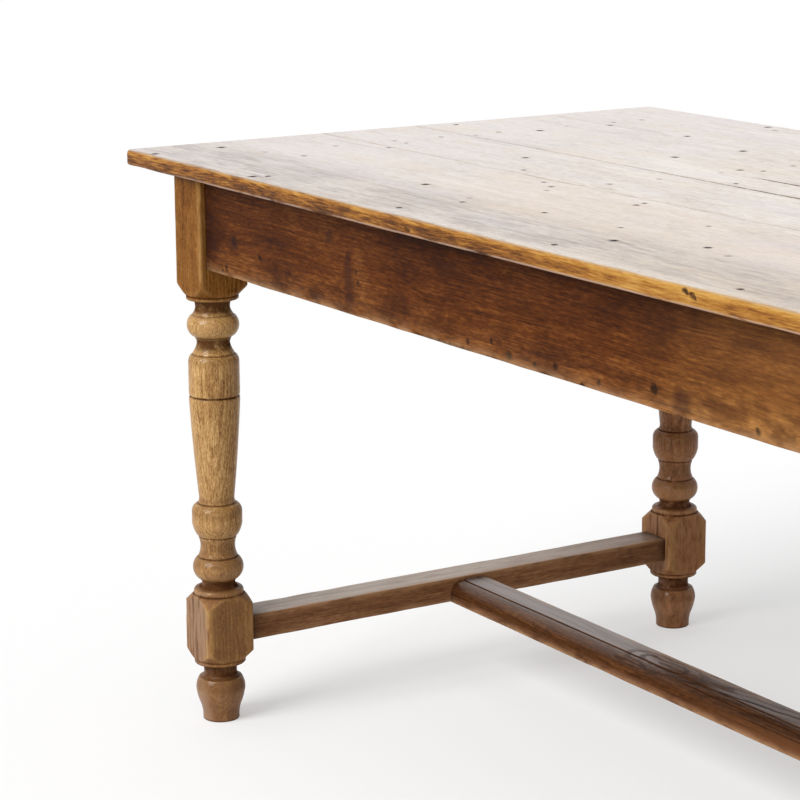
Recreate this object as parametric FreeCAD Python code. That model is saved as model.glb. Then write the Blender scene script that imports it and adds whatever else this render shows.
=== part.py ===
import FreeCAD, Part
import math
import os

# Refectory table: a boarded top on a joined frame with turned legs and an H stretcher.
# Millimetres. X runs along the table, Y across it from front to back, Z up from the floor.
# The origin is on the floor under the middle of the table.

# Whole table
table_length = 2200
table_width = 870
table_height = 760
end_overhang = 144        # leg axis to the end of the top
side_overhang = 53        # leg axis to the long edge of the top

# Boarded top
top_thick = 20
plank_names = ("front_plank", "front_middle_plank", "back_middle_plank", "back_plank")
plank_width_shares = (0.35, 0.172, 0.263, 0.215)
seam_gap = 0.8
tongue_thick = 6
tongue_depth = 7
tongue_clear = 0.3
top_corner_radius = 8
top_arris_radius = 4
top_under_chamfer = 2

# Leg: square blocks
leg_block = 70
block_arris = 3
block_drop = 39.5         # how far the top block runs on below the apron
low_block_height = 91

# Leg: turned stretches, from the floor up
foot_radius = 33
foot_height = 59
toe_radius = 25
toe_round = 2
rim_radius = 29
rim_step = 2
ankle_height = 21
collar_radius = 34.5
collar_height = 5.5
collar_edge = 1
ring_height = 6.5
ring_round = 3.8
low_neck_height = 15
turn_radius = 33.8
neck_radius = 22.3
lip = 3.3                 # how far the foot of a bead stands out from the neck
bead_height = 30
cove_height = 28.6
drum_height = 44.6
waist_radius = 23.4
waist_height = 9.5
line_width = 1.6
line_depth = 0.9
cylinder_height = 50
shoulder_height = 21.4
top_neck_height = 14
throat_height = 19
instep_radius_share = 0.38
instep_height_share = 0.4
belly_height_share = 0.75
ankle_cove_share = 0.3
throat_cove_share = 0.28
neck_fillet_share = 0.15
drum_round_shares = (0.38, 0.72)
shoulder_radius_share = 0.6
shoulder_height_share = 0.53

# Bows of the turned curves, as shares of their chords: hollow below zero, full above
toe_bow_share = -0.056
instep_bow_share = 0.085
belly_bow_share = 0.15
ankle_bow_share = -0.12
ring_bow_share = 0.18
drum_bow_shares = (0.07, 0.14)
waist_bow_share = -0.1
taper_bow_share = 0.004
shoulder_bow_shares = (0.1, -0.08)
throat_bow_share = -0.1

# Aprons
apron_height = 119
apron_thick = 25
apron_reveal = 9          # how far the apron lies behind the block's face
apron_arris = 2
apron_tenon_thick = 9
apron_tenon_below = 15
apron_tenon_above = 25
tenon_wall = 4            # wood left between two tenons in one leg

# Stretchers
stretcher_rise = 23.5     # above the bottom of the low block
end_stretcher_width = 50
end_stretcher_height = 35
stretcher_arris = 2
end_tenon_thick = 14
end_tenon_length = 40
end_tenon_shoulder = 5
medial_width = 58
medial_height = 30
medial_side = 9           # upright stretch below the round
medial_round = 18         # width of the round along the front upper edge
medial_round_bow_share = 0.19
quirk_width = 2
quirk_depth = 3
medial_tenon_width = 36
medial_tenon_thick = 14
medial_tenon_length = 34
medial_tenon_below = 8

# Cross bearers under the boards
bearer_names = ("left_bearer", "middle_bearer", "right_bearer")
bearer_place_shares = (-0.25, 0, 0.25)
bearer_width = 40
bearer_height = 55
bearer_housing = 8

# Pegs and nails
peg_across = 8
peg_sides = 8
peg_setback = 12          # from the tenon's shoulder
peg_past = 8              # beyond the tenon
apron_peg_shares = (0.22, 0.78)
nail_head = 6
nail_head_thick = 1.5
nail_shank = 3.2
nail_tip = 1.2
nail_length = 46
nail_inset = 8            # from the outer face of a long apron
edge_nail_count = 6
board_nail_shares = (0.25, 0.75)

# Fits
cheek_clear = 0.1         # beside a tenon
mortise_gap = 1           # beyond the end of a tenon
overrun = 5               # how far a cut runs past the face that it opens

# Worked out from the sizes above
leg_height = table_height - top_thick
leg_x = table_length / 2 - end_overhang
leg_y = table_width / 2 - side_overhang
block_half = leg_block / 2
low_block_bottom = foot_height + ankle_height + collar_height
low_block_top = low_block_bottom + low_block_height
apron_bottom = leg_height - apron_height
top_block_bottom = apron_bottom - block_drop
apron_face = block_half - apron_reveal
apron_inner = leg_y + apron_face - apron_thick
apron_tenon_offset = apron_face - apron_thick / 2
apron_tenon_length = block_half + apron_tenon_offset - apron_tenon_thick / 2 - tenon_wall
apron_tenon_low = apron_bottom + apron_tenon_below
apron_tenon_high = leg_height - apron_tenon_above
long_apron_length = 2 * (leg_x - block_half)
end_rail_length = 2 * (leg_y - block_half)
stretcher_bottom = low_block_bottom + stretcher_rise
end_stretcher_top = stretcher_bottom + end_stretcher_height
end_tenon_low = stretcher_bottom + end_tenon_shoulder
end_tenon_high = end_stretcher_top - end_tenon_shoulder
medial_end = leg_x - end_stretcher_width / 2
medial_tenon_low = stretcher_bottom + medial_tenon_below
medial_tenon_high = medial_tenon_low + medial_tenon_thick
bearer_places = [share * 2 * leg_x for share in bearer_place_shares]
quarter_bow_share = (math.sqrt(2) - 1) / 2

Point = FreeCAD.Vector
up = Point(0, 0, 1)


def box(x_limits, y_limits, z_limits):
    low = Point(min(x_limits), min(y_limits), min(z_limits))
    size = Point(max(x_limits), max(y_limits), max(z_limits)) - low
    return Part.makeBox(size.x, size.y, size.z, low)


def about(middle, size, clear=0):
    # the two limits of a size that lies evenly about its middle
    return (middle - size / 2 - clear, middle + size / 2 + clear)


def near(solid, tools):
    return [tool for tool in tools if solid.BoundBox.intersect(tool.BoundBox)]


def drilled(solid, tools):
    # the solid less the tools that reach it
    reaching = near(solid, tools)
    return solid.cut(reaching) if reaching else solid


def eased(solid, size, least_length, level=None):
    # chamfers the edges that are longer than least_length, only those at the level if one is given
    edges = [edge for edge in solid.Edges if edge.Length > least_length]
    if level is not None:
        edges = [edge for edge in edges if math.isclose(edge.BoundBox.ZMax, level)]
    return solid.makeChamfer(size, edges)


def bowed_edge(start, end, normal, bow_share):
    # an edge from start to end, bowed to the right of its way by a share of its length
    if bow_share == 0:
        return Part.LineSegment(start, end).toShape()
    chord = end - start
    middle = start + chord / 2 + chord.cross(normal) * bow_share
    return Part.Arc(start, middle, end).toShape()


def outline_face(points, place, normal):
    # points hold two coordinates and the bow of the edge that follows
    corners = [place(u, v) for u, v, bow_share in points]
    edges = []
    for number, (u, v, bow_share) in enumerate(points):
        following = corners[(number + 1) % len(corners)]
        edges.append(bowed_edge(corners[number], following, normal, bow_share))
    return Part.Face(Part.Wire(edges))


def moulding(z, height, edge_radius, crown_radius):
    # start of a bead or cove, bowed so that its middle reaches the crown's radius
    return (edge_radius, z, (crown_radius - edge_radius) / height)


def foot_outline():
    instep_radius = toe_radius + (foot_radius - toe_radius) * instep_radius_share
    collar_bottom = low_block_bottom - collar_height
    return [
        (0, 0, 0),
        (toe_radius - toe_round, 0, quarter_bow_share),
        (toe_radius, toe_round, toe_bow_share),
        (instep_radius, foot_height * instep_height_share, instep_bow_share),
        (foot_radius, foot_height * belly_height_share, belly_bow_share),
        (rim_radius, foot_height, 0),
        (rim_radius - rim_step, foot_height, ankle_bow_share),
        (neck_radius, foot_height + ankle_height * ankle_cove_share, 0),
        (neck_radius, collar_bottom, 0),
        (collar_radius - collar_edge, collar_bottom, 0),
        (collar_radius, collar_bottom + collar_edge, 0),
    ]


def low_block_outline(corner):
    # lathe shoulders at 45 degrees run out to the corner and back to the ring above the block
    ring_top = low_block_top + ring_height
    return [
        (collar_radius, low_block_bottom, 0),
        (corner, low_block_bottom + corner - collar_radius, 0),
        (corner, low_block_top - corner + turn_radius, 0),
        (turn_radius, low_block_top, 0),
        (turn_radius, ring_top - ring_round, ring_bow_share),
        (turn_radius - ring_round, ring_top, 0),
        (neck_radius, ring_top, 0),
    ]


def shaft_outline():
    # bead, cove, drum, waist, tapered vase with an incised line, cylinder, neck and bead
    edge_radius = neck_radius + lip
    bead_bottom = low_block_top + ring_height + low_neck_height
    bead_top = bead_bottom + bead_height
    drum_bottom = bead_top + cove_height
    drum_top = drum_bottom + drum_height
    drum_low, drum_high = [drum_bottom + drum_height * share for share in drum_round_shares]
    throat_top = top_block_bottom - collar_height
    high_bead_top = throat_top - throat_height
    high_bead_bottom = high_bead_top - bead_height
    neck_bottom = high_bead_bottom - top_neck_height
    cylinder_top = neck_bottom - shoulder_height
    line = cylinder_top - cylinder_height
    shoulder_radius = neck_radius + (turn_radius - neck_radius) * shoulder_radius_share
    return [
        (neck_radius, bead_bottom - low_neck_height * neck_fillet_share, 0),
        moulding(bead_bottom, bead_height, edge_radius, turn_radius),
        moulding(bead_top, cove_height, edge_radius, neck_radius),
        (edge_radius, drum_bottom, drum_bow_shares[0]),
        (turn_radius, drum_low, 0),
        (turn_radius, drum_high, drum_bow_shares[1]),
        (edge_radius, drum_top, waist_bow_share),
        (waist_radius, drum_top + waist_height, taper_bow_share),
        (turn_radius, line - line_width / 2, 0),
        (turn_radius - line_depth, line, 0),
        (turn_radius, line + line_width / 2, 0),
        (turn_radius, cylinder_top, shoulder_bow_shares[0]),
        (shoulder_radius, cylinder_top + shoulder_height * shoulder_height_share, shoulder_bow_shares[1]),
        (neck_radius, neck_bottom, 0),
        (neck_radius, high_bead_bottom - top_neck_height * neck_fillet_share, 0),
        moulding(high_bead_bottom, bead_height, edge_radius, turn_radius),
        (edge_radius, high_bead_top, throat_bow_share),
        (neck_radius, high_bead_top + throat_height * throat_cove_share, 0),
        (neck_radius, throat_top, 0),
    ]


def top_block_outline(corner):
    collar_bottom = top_block_bottom - collar_height
    return [
        (collar_radius - collar_edge, collar_bottom, 0),
        (collar_radius, collar_bottom + collar_edge, 0),
        (collar_radius, top_block_bottom, 0),
        (corner, top_block_bottom + corner - collar_radius, 0),
        (corner, leg_height, 0),
        (0, leg_height, 0),
    ]


def leg_blank():
    # the square timber with eased arrises, less everything that the lathe takes off
    corner = block_half * math.sqrt(2) + overrun
    points = foot_outline() + low_block_outline(corner) + shaft_outline() + top_block_outline(corner)
    face = outline_face(points, lambda radius, z: Point(radius, 0, z), Point(0, -1, 0))
    turned = face.revolve(Point(0, 0, 0), up, 360)
    timber = box(about(0, leg_block), about(0, leg_block), (0, leg_height))
    return turned.common(eased(timber, block_arris, leg_height / 2))


def leg_mortises(side_x, side_y):
    # side_x and side_y point from the leg's axis towards the middle of the table
    apron_depth = (block_half - apron_tenon_length - mortise_gap, block_half + overrun)
    end_depth = (block_half - end_tenon_length - mortise_gap, block_half + overrun)
    apron_span = (apron_tenon_low - cheek_clear, apron_tenon_high + cheek_clear)
    for_long_apron = box(
        [side_x * depth for depth in apron_depth],
        about(-side_y * apron_tenon_offset, apron_tenon_thick, cheek_clear),
        apron_span,
    )
    for_end_apron = box(
        about(-side_x * apron_tenon_offset, apron_tenon_thick, cheek_clear),
        [side_y * depth for depth in apron_depth],
        apron_span,
    )
    for_stretcher = box(
        about(0, end_tenon_thick, cheek_clear),
        [side_y * depth for depth in end_depth],
        (end_tenon_low - cheek_clear, end_tenon_high + cheek_clear),
    )
    return [for_long_apron, for_end_apron, for_stretcher]


def long_apron(side):
    # side is -1 at the front and 1 at the back
    inner = side * apron_inner
    board = box(
        about(0, long_apron_length),
        (inner, side * (leg_y + apron_face)),
        (apron_bottom, leg_height),
    )
    board = eased(board, apron_arris, long_apron_length / 2, apron_bottom)
    tenons = box(
        about(0, long_apron_length + 2 * apron_tenon_length),
        about(side * (leg_y + apron_tenon_offset), apron_tenon_thick),
        (apron_tenon_low, apron_tenon_high),
    )
    housings = []
    for place in bearer_places:
        housings.append(box(
            about(place, bearer_width),
            (inner + side * bearer_housing, inner - side * overrun),
            (leg_height - bearer_height, leg_height + overrun),
        ))
    return board.fuse(tenons).cut(housings).removeSplitter()


def end_apron(side):
    # side is -1 at the left and 1 at the right
    outer = side * (leg_x + apron_face)
    board = box(
        (outer, outer - side * apron_thick),
        about(0, end_rail_length),
        (apron_bottom, leg_height),
    )
    board = eased(board, apron_arris, end_rail_length / 2, apron_bottom)
    tenons = box(
        about(side * (leg_x + apron_tenon_offset), apron_tenon_thick),
        about(0, end_rail_length + 2 * apron_tenon_length),
        (apron_tenon_low, apron_tenon_high),
    )
    return board.fuse(tenons).removeSplitter()


def end_stretcher(side):
    rail = box(
        about(side * leg_x, end_stretcher_width),
        about(0, end_rail_length),
        (stretcher_bottom, end_stretcher_top),
    )
    rail = eased(rail, stretcher_arris, end_rail_length / 2)
    tenons = box(
        about(side * leg_x, end_tenon_thick),
        about(0, end_rail_length + 2 * end_tenon_length),
        (end_tenon_low, end_tenon_high),
    )
    mortise = box(
        (side * (medial_end - overrun), side * (medial_end + medial_tenon_length + mortise_gap)),
        about(0, medial_tenon_width, cheek_clear),
        (medial_tenon_low - cheek_clear, medial_tenon_high + cheek_clear),
    )
    return rail.fuse(tenons).cut(mortise).removeSplitter()


def medial_stretcher():
    # flat on top and square behind, with a quirk and a round along the front upper edge
    front, back = about(0, medial_width)
    quirk = front + medial_round
    points = [
        (front, 0, 0),
        (back, 0, 0),
        (back, medial_height - stretcher_arris, 0),
        (back - stretcher_arris, medial_height, 0),
        (quirk + quirk_width, medial_height, 0),
        (quirk + quirk_width / 2, medial_height - quirk_depth, 0),
        (quirk, medial_height, medial_round_bow_share),
        (front, medial_side, 0),
    ]
    section = outline_face(
        points,
        lambda y, z: Point(-medial_end, y, stretcher_bottom + z),
        Point(1, 0, 0),
    )
    rail = section.extrude(Point(2 * medial_end, 0, 0))
    tenons = box(
        about(0, 2 * (medial_end + medial_tenon_length)),
        about(0, medial_tenon_width),
        (medial_tenon_low, medial_tenon_high),
    )
    return rail.fuse(tenons).removeSplitter()


def bearer(place):
    return box(
        about(place, bearer_width),
        about(0, 2 * (apron_inner + bearer_housing)),
        (leg_height - bearer_height, leg_height),
    )


def plank_edges():
    # the seams' places from front to back, the outer edges included
    edges = [-table_width / 2]
    for share in plank_width_shares:
        edges.append(edges[-1] + share * table_width)
    return edges


def top_slab():
    # all the boards as one slab, rounded at its corners and along its upper edge
    slab = box(about(0, table_length), about(0, table_width), (leg_height, table_height))
    uprights = [edge for edge in slab.Edges if edge.BoundBox.ZLength > top_thick / 2]
    slab = slab.makeFillet(top_corner_radius, uprights)
    upper = [edge for edge in slab.Edges if math.isclose(edge.BoundBox.ZMin, table_height)]
    slab = slab.makeFillet(top_arris_radius, upper)
    lower = [edge for edge in slab.Edges if math.isclose(edge.BoundBox.ZMax, leg_height)]
    return slab.makeChamfer(top_under_chamfer, lower)


def planks(slab):
    # each board's slice of the slab, with a tongue behind and a groove in front
    seams = plank_edges()
    last = len(plank_names) - 1
    along = about(0, table_length, overrun)
    middle = leg_height + top_thick / 2
    groove_depth = tongue_depth - seam_gap + tongue_clear
    boards = []
    for number in range(len(plank_names)):
        front = seams[number] + (seam_gap / 2 if number > 0 else -overrun)
        back = seams[number + 1] - (seam_gap / 2 if number < last else -overrun)
        piece = box(along, (front, back), (leg_height - overrun, table_height + overrun))
        if number < last:
            tongue = (back - overrun, back + tongue_depth)
            piece = piece.fuse(box(along, tongue, about(middle, tongue_thick)))
        if number > 0:
            groove = (front - overrun, front + groove_depth)
            piece = piece.cut(box(along, groove, about(middle, tongue_thick, tongue_clear)))
        boards.append(slab.common(piece).removeSplitter())
    return boards


def square_wire(x, y, z, size):
    half = size / 2
    corners = [Point(x + half * i, y + half * j, z) for i, j in ((-1, -1), (1, -1), (1, 1), (-1, 1))]
    return Part.makePolygon(corners + corners[:1])


def nail(x, y):
    # a flat head let in flush with the top and a square shank that tapers to its tip
    neck = table_height - nail_head_thick
    head = box(about(x, nail_head), about(y, nail_head), (neck, table_height))
    sections = [
        square_wire(x, y, neck, nail_shank),
        square_wire(x, y, table_height - nail_length, nail_tip),
    ]
    return head.fuse(Part.makeLoft(sections, True, True)).removeSplitter()


def nail_places():
    # rows along the long aprons, then across the end aprons and the bearers
    places = []
    row = leg_y + apron_face - nail_inset
    pitch = long_apron_length / edge_nail_count
    for side in (-1, 1):
        for number in range(edge_nail_count):
            places.append(((number + 1 / 2) * pitch - long_apron_length / 2, side * row))
    inside = end_rail_length / 2
    end_row = leg_x + apron_tenon_offset
    seams = plank_edges()
    for x in [-end_row] + bearer_places + [end_row]:
        for low, high in zip(seams, seams[1:]):
            front = max(low, -inside)
            back = min(high, inside)
            for share in board_nail_shares:
                places.append((x, front + (back - front) * share))
    return places


def peg(start, way, length):
    # a straight peg with flat sides, from its outer end inwards
    step = FreeCAD.Rotation(way, 360 / peg_sides)
    arm = Point(way.y, way.z, way.x) * (peg_across / 2 / math.cos(math.pi / peg_sides))
    corners = []
    for side in range(peg_sides):
        corners.append(start + arm)
        arm = step.multVec(arm)
    return Part.Face(Part.makePolygon(corners + corners[:1])).extrude(way * length)


def leg_sides():
    # every leg's name, and the directions from its axis to the middle of the table
    for side_y, depth in ((1, "front"), (-1, "back")):
        for side_x, hand in ((1, "left"), (-1, "right")):
            yield "leg_" + depth + "_" + hand, side_x, side_y


def apron_pegs():
    # each apron tenon is held by pegs from the outer face of its leg
    pegs = []
    length = block_half - apron_tenon_offset + apron_tenon_thick / 2 + peg_past
    inward = block_half - peg_setback
    for name, side_x, side_y in leg_sides():
        axis = Point(-side_x * leg_x, -side_y * leg_y, 0)
        for share in apron_peg_shares:
            z = apron_tenon_low + (apron_tenon_high - apron_tenon_low) * share
            from_side = axis + Point(side_x * inward, -side_y * block_half, z)
            from_end = axis + Point(-side_x * block_half, side_y * inward, z)
            pegs.append(peg(from_side, Point(0, side_y, 0), length))
            pegs.append(peg(from_end, Point(side_x, 0, 0), length))
    return pegs


def stretcher_pegs():
    pegs = []
    length = block_half + end_tenon_thick / 2 + peg_past
    z = (end_tenon_low + end_tenon_high) / 2
    for name, side_x, side_y in leg_sides():
        y = -side_y * (leg_y - block_half + peg_setback)
        pegs.append(peg(Point(-side_x * (leg_x + block_half), y, z), Point(side_x, 0, 0), length))
    return pegs


def medial_pegs():
    # driven up from below, so that they don't show on top
    pegs = []
    length = medial_tenon_high - stretcher_bottom + peg_past
    for side in (-1, 1):
        pegs.append(peg(Point(side * (medial_end + peg_setback), 0, stretcher_bottom), up, length))
    return pegs


def build():
    frame_pegs = apron_pegs()
    rail_pegs = stretcher_pegs()
    tee_pegs = medial_pegs()
    nails = [nail(x, y) for x, y in nail_places()]
    nodes = {}

    blank = leg_blank()
    for name, side_x, side_y in leg_sides():
        leg = blank.cut(leg_mortises(side_x, side_y))
        leg.translate(Point(-side_x * leg_x, -side_y * leg_y, 0))
        nodes[name] = drilled(leg, frame_pegs + rail_pegs)

    nodes["apron_front"] = drilled(long_apron(-1), frame_pegs + nails)
    nodes["apron_back"] = drilled(long_apron(1), frame_pegs + nails)
    nodes["apron_left"] = drilled(end_apron(-1), frame_pegs + nails)
    nodes["apron_right"] = drilled(end_apron(1), frame_pegs + nails)
    nodes["end_stretcher_left"] = drilled(end_stretcher(-1), rail_pegs + tee_pegs)
    nodes["end_stretcher_right"] = drilled(end_stretcher(1), rail_pegs + tee_pegs)
    nodes["medial_stretcher"] = drilled(medial_stretcher(), tee_pegs)
    for name, place in zip(bearer_names, bearer_places):
        nodes[name] = drilled(bearer(place), nails)
    for name, board in zip(plank_names, planks(top_slab())):
        nodes[name] = drilled(board, nails)

    nodes["apron_pegs"] = Part.makeCompound(frame_pegs)
    nodes["stretcher_pegs"] = Part.makeCompound(rail_pegs)
    nodes["medial_pegs"] = Part.makeCompound(tee_pegs)
    nodes["top_nails"] = Part.makeCompound(nails)
    return nodes


os.makedirs("parts", exist_ok=True)
for name, shape in build().items():
    shape.exportStep("parts/" + name + ".step")
    print(name, len(shape.Solids), "solids, volume", round(shape.Volume), "valid", shape.isValid())
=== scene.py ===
import math
import bmesh
import bpy
import numpy as np
from mathutils import Matrix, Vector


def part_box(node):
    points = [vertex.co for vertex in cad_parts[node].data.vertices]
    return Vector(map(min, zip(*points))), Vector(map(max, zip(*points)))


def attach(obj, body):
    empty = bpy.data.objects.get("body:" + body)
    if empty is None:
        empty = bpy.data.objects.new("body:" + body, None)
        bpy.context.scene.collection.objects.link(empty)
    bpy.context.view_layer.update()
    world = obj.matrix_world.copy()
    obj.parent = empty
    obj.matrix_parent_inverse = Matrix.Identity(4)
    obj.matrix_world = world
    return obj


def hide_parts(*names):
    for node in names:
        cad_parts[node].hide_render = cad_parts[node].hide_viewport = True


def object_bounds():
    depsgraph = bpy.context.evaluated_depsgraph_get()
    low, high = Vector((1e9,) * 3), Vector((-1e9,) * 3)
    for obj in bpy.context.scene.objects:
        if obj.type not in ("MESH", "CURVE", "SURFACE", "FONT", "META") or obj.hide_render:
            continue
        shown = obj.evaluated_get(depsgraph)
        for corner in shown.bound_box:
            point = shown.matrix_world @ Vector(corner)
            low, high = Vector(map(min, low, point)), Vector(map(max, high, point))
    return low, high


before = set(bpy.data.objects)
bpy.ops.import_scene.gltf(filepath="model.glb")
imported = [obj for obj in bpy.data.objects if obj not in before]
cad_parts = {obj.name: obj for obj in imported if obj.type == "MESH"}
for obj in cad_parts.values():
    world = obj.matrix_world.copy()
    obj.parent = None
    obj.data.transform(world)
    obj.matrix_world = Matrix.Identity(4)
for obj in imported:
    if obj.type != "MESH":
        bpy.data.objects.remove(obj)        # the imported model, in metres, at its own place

cadLow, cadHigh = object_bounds()
mm = 0.001
middle = 0.5             # the middle value of every noise node
print("frame loaded:", len(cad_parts), "nodes")

lattice = {"primes": (374761393, 668265263, 1274126177), "bits": 0xffffffff, "shifts": (13, 16),
           "seedStep": 31.7}


# value noise: a number from -1 to 1 on each lattice corner, blended by 3t^2 - 2t^3 between the corners
def lumps(points, size, seed=0):
    cell = np.asarray(points, float) / size + lattice["seedStep"] * (seed + 1)
    low = np.floor(cell).astype(np.int64)
    part = cell - low
    part = part * part * (3 - 2 * part)
    total = 0.0
    for corner in np.ndindex(2, 2, 2):
        number = ((low + corner) * lattice["primes"]).sum(-1) & lattice["bits"]
        number = (number ^ number >> lattice["shifts"][0]) * lattice["primes"][2] & lattice["bits"]
        value = (number ^ number >> lattice["shifts"][1]) / lattice["bits"]
        total = total + value * np.prod(np.where(corner, part, 1 - part), -1)
    return 2 * total - 1


# the same noise, from 0 to 1
def swell(points, size, seed=0):
    return (1 + lumps(points, size, seed)) / 2


# 0 up to the start, then an even rise to 1 over the length
def ramp(value, start, length):
    return np.clip((value - start) / length, 0, 1)


# 1 at no distance, then an even fall to 0 at the reach
def fade(distance, reach):
    return np.clip(1 - distance / reach, 0, 1)


# how far inside a rounded end a surface lies: radius less the height of a circle at that distance
def roundedDrop(distance, radius):
    missing = np.clip(radius - distance, 0, radius)
    return radius - np.sqrt(radius ** 2 - missing ** 2)


# closed outline from corner rows (u, v, radius): runs cut at even spacing, corners swept by an arc
# gives the points, the outward normal of each and how worn it is: 1 on a rounded corner, or a row's fourth
# value where it has one (-1 in a crease, dark with dirt and painted shade), fading as e^(-distance / reach)
# along the runs
def roundedOutline(corners, spacing, arcSteps=5, reach=4 * mm):
    mark = np.array([row[3] if len(row) > 3 else float(row[2] > 0) for row in corners])
    corners = np.array([row[:3] for row in corners], float)
    place = corners[:, :2]
    before = place - np.roll(place, 1, 0)
    after = np.roll(place, -1, 0) - place
    before /= np.linalg.norm(before, axis=1, keepdims=True)
    after /= np.linalg.norm(after, axis=1, keepdims=True)
    turn = np.arctan2(before[:, 0] * after[:, 1] - before[:, 1] * after[:, 0], (before * after).sum(1))
    cutBack = corners[:, 2] * np.tan(np.abs(turn) / 2)
    starts = place - before * cutBack[:, None]
    ends = place + after * cutBack[:, None]
    points, nearness = [], []
    for i in range(len(corners)):
        j = (i + 1) % len(corners)
        if corners[i, 2] > 0:
            angle = np.linspace(0, 1, arcSteps + 1)[:, None] * turn[i]
            side = np.array([-before[i, 1], before[i, 0]]) * np.sign(turn[i])
            sweep = np.sin(np.abs(angle)) * before[i] + (1 - np.cos(angle)) * side
            points.append(starts[i] + corners[i, 2] * sweep)
            nearness.append(np.full(arcSteps + 1, mark[i]))
        else:
            points.append(starts[i:i + 1])
            nearness.append(mark[i:i + 1])
        length = np.linalg.norm(starts[j] - ends[i])
        share = np.linspace(0, 1, max(2, round(length / spacing)) + 1)[1:-1, None]
        points.append(ends[i] + share * (starts[j] - ends[i]))
        fromStart = mark[i] * np.exp(-share[:, 0] * length / reach)
        fromEnd = mark[j] * np.exp(-(1 - share[:, 0]) * length / reach)
        nearness.append(fromStart + fromEnd)
    points = np.concatenate(points)
    tangent = np.roll(points, -1, 0) - np.roll(points, 1, 0)
    normals = np.stack([tangent[:, 1], -tangent[:, 0]], 1)
    return points, normals / np.linalg.norm(normals, axis=1, keepdims=True), np.concatenate(nearness)


# a section carried along a straight line: station s, section u and v go to the axes in the order given
def carry(section, stations, axes):
    rings = np.empty((len(stations), len(section), 3))
    rings[..., axes[0]] = stations[:, None]
    rings[..., axes[1]] = section[None, :, 0]
    rings[..., axes[2]] = section[None, :, 1]
    return rings


# even stations from start to end: as many steps as fit the length, and two at least
def evenly(start, end, step):
    return np.linspace(start, end, max(2, round(abs(end - start) / step)) + 1)


skin = {"marks": ("wear", "grimeAndShade", "rim"), "merge": 0.002 * mm, "sharp": math.radians(38)}


# skins rings, stations by points around, with one quad between neighbours, and closes each end with one face
def addPiece(name, rings, marks, material, node):
    stations, around = rings.shape[:2]
    index = np.arange(stations * around).reshape(stations, around)
    beside = np.roll(index, -1, axis=1)
    walls = np.stack([index[:-1], beside[:-1], beside[1:], index[1:]], -1).reshape(-1, 4)
    faces = walls.tolist() + [index[0, ::-1].tolist(), index[-1].tolist()]
    mesh = bpy.data.meshes.new(name)
    mesh.from_pydata(rings.reshape(-1, 3).tolist(), [], faces)
    for mark in skin["marks"]:
        value = np.broadcast_to(marks.get(mark, 0.0), (stations, around)).ravel()
        layer = mesh.attributes.new(mark, "FLOAT", "POINT")
        layer.data.foreach_set("value", np.clip(value, 0, 1).astype(np.float32))
    work = bmesh.new()
    work.from_mesh(mesh)
    bmesh.ops.remove_doubles(work, verts=work.verts, dist=skin["merge"])
    bmesh.ops.recalc_face_normals(work, faces=work.faces)
    work.to_mesh(mesh)
    work.free()
    mesh.shade_smooth()
    mesh.set_sharp_from_angle(angle=skin["sharp"])
    mesh.materials.append(material)
    piece = bpy.data.objects.new(name, mesh)
    bpy.context.scene.collection.objects.link(piece)
    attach(piece, "root")
    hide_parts(node)
    print("made", name, len(mesh.polygons), "faces")


# nodes: the helpers below add to the tree and give an output socket


# a socket gets a link from another socket, or else a plain value
def plug(tree, socket, value):
    if isinstance(value, bpy.types.NodeSocket):
        tree.links.new(value, socket)
    else:
        socket.default_value = value


# one operation on two values, its result kept from 0 to 1 where it is clamped
def figure(tree, operation, first, second=0.0, clamp=False):
    node = tree.nodes.new("ShaderNodeMath")
    node.operation = operation
    node.use_clamp = clamp
    plug(tree, node.inputs[0], first)
    plug(tree, node.inputs[1], second)
    return node.outputs[0]


# the product of two values
def times(tree, first, second):
    return figure(tree, "MULTIPLY", first, second)


# what is left of 1, and never less than 0
def rest(tree, value):
    return figure(tree, "SUBTRACT", 1.0, value, True)


# how far a noise is off its middle, times a share
def offMiddle(tree, value, share):
    return times(tree, figure(tree, "SUBTRACT", value, middle), share)


# places scaled along each axis, then turned, then moved
def stretched(tree, where, scale, place=(0, 0, 0), turn=(0, 0, 0)):
    node = tree.nodes.new("ShaderNodeMapping")
    plug(tree, node.inputs["Vector"], where)
    node.inputs["Scale"].default_value = scale
    node.inputs["Location"].default_value = place
    node.inputs["Rotation"].default_value = turn
    return node.outputs[0]


# noise at each place, as a value from 0 to 1 or as a colour
def cloud(tree, where, scale, detail, roughness, output="Fac"):
    node = tree.nodes.new("ShaderNodeTexNoise")
    plug(tree, node.inputs["Vector"], where)
    node.inputs["Scale"].default_value = scale
    node.inputs["Detail"].default_value = detail
    node.inputs["Roughness"].default_value = roughness
    return node.outputs[output]


# places moved by the colour of a noise times its reach; the noise is a scale, a detail and a roughness
def shaken(tree, where, noisePlace, noise, reach):
    node = tree.nodes.new("ShaderNodeVectorMath")
    node.operation = "MULTIPLY_ADD"
    plug(tree, node.inputs[0], cloud(tree, noisePlace, *noise, "Color"))
    node.inputs[1].default_value = reach
    plug(tree, node.inputs[2], where)
    return node.outputs[0]


# distance of each place from a centre
def distance(tree, where, centre):
    node = tree.nodes.new("ShaderNodeVectorMath")
    node.operation = "DISTANCE"
    plug(tree, node.inputs[0], where)
    node.inputs[1].default_value = centre
    return node.outputs["Value"]


# smooth step 3t^2 - 2t^3 between two limits, which may fall, spread from a low to a high value
def spread(tree, value, fromLow, fromHigh, toLow=0.0, toHigh=1.0):
    node = tree.nodes.new("ShaderNodeMapRange")
    node.interpolation_type = "SMOOTHSTEP"
    limits = {"Value": value, "From Min": fromLow, "From Max": fromHigh, "To Min": toLow, "To Max": toHigh}
    for name, limit in limits.items():
        plug(tree, node.inputs[name], limit)
    return node.outputs["Result"]


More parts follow.
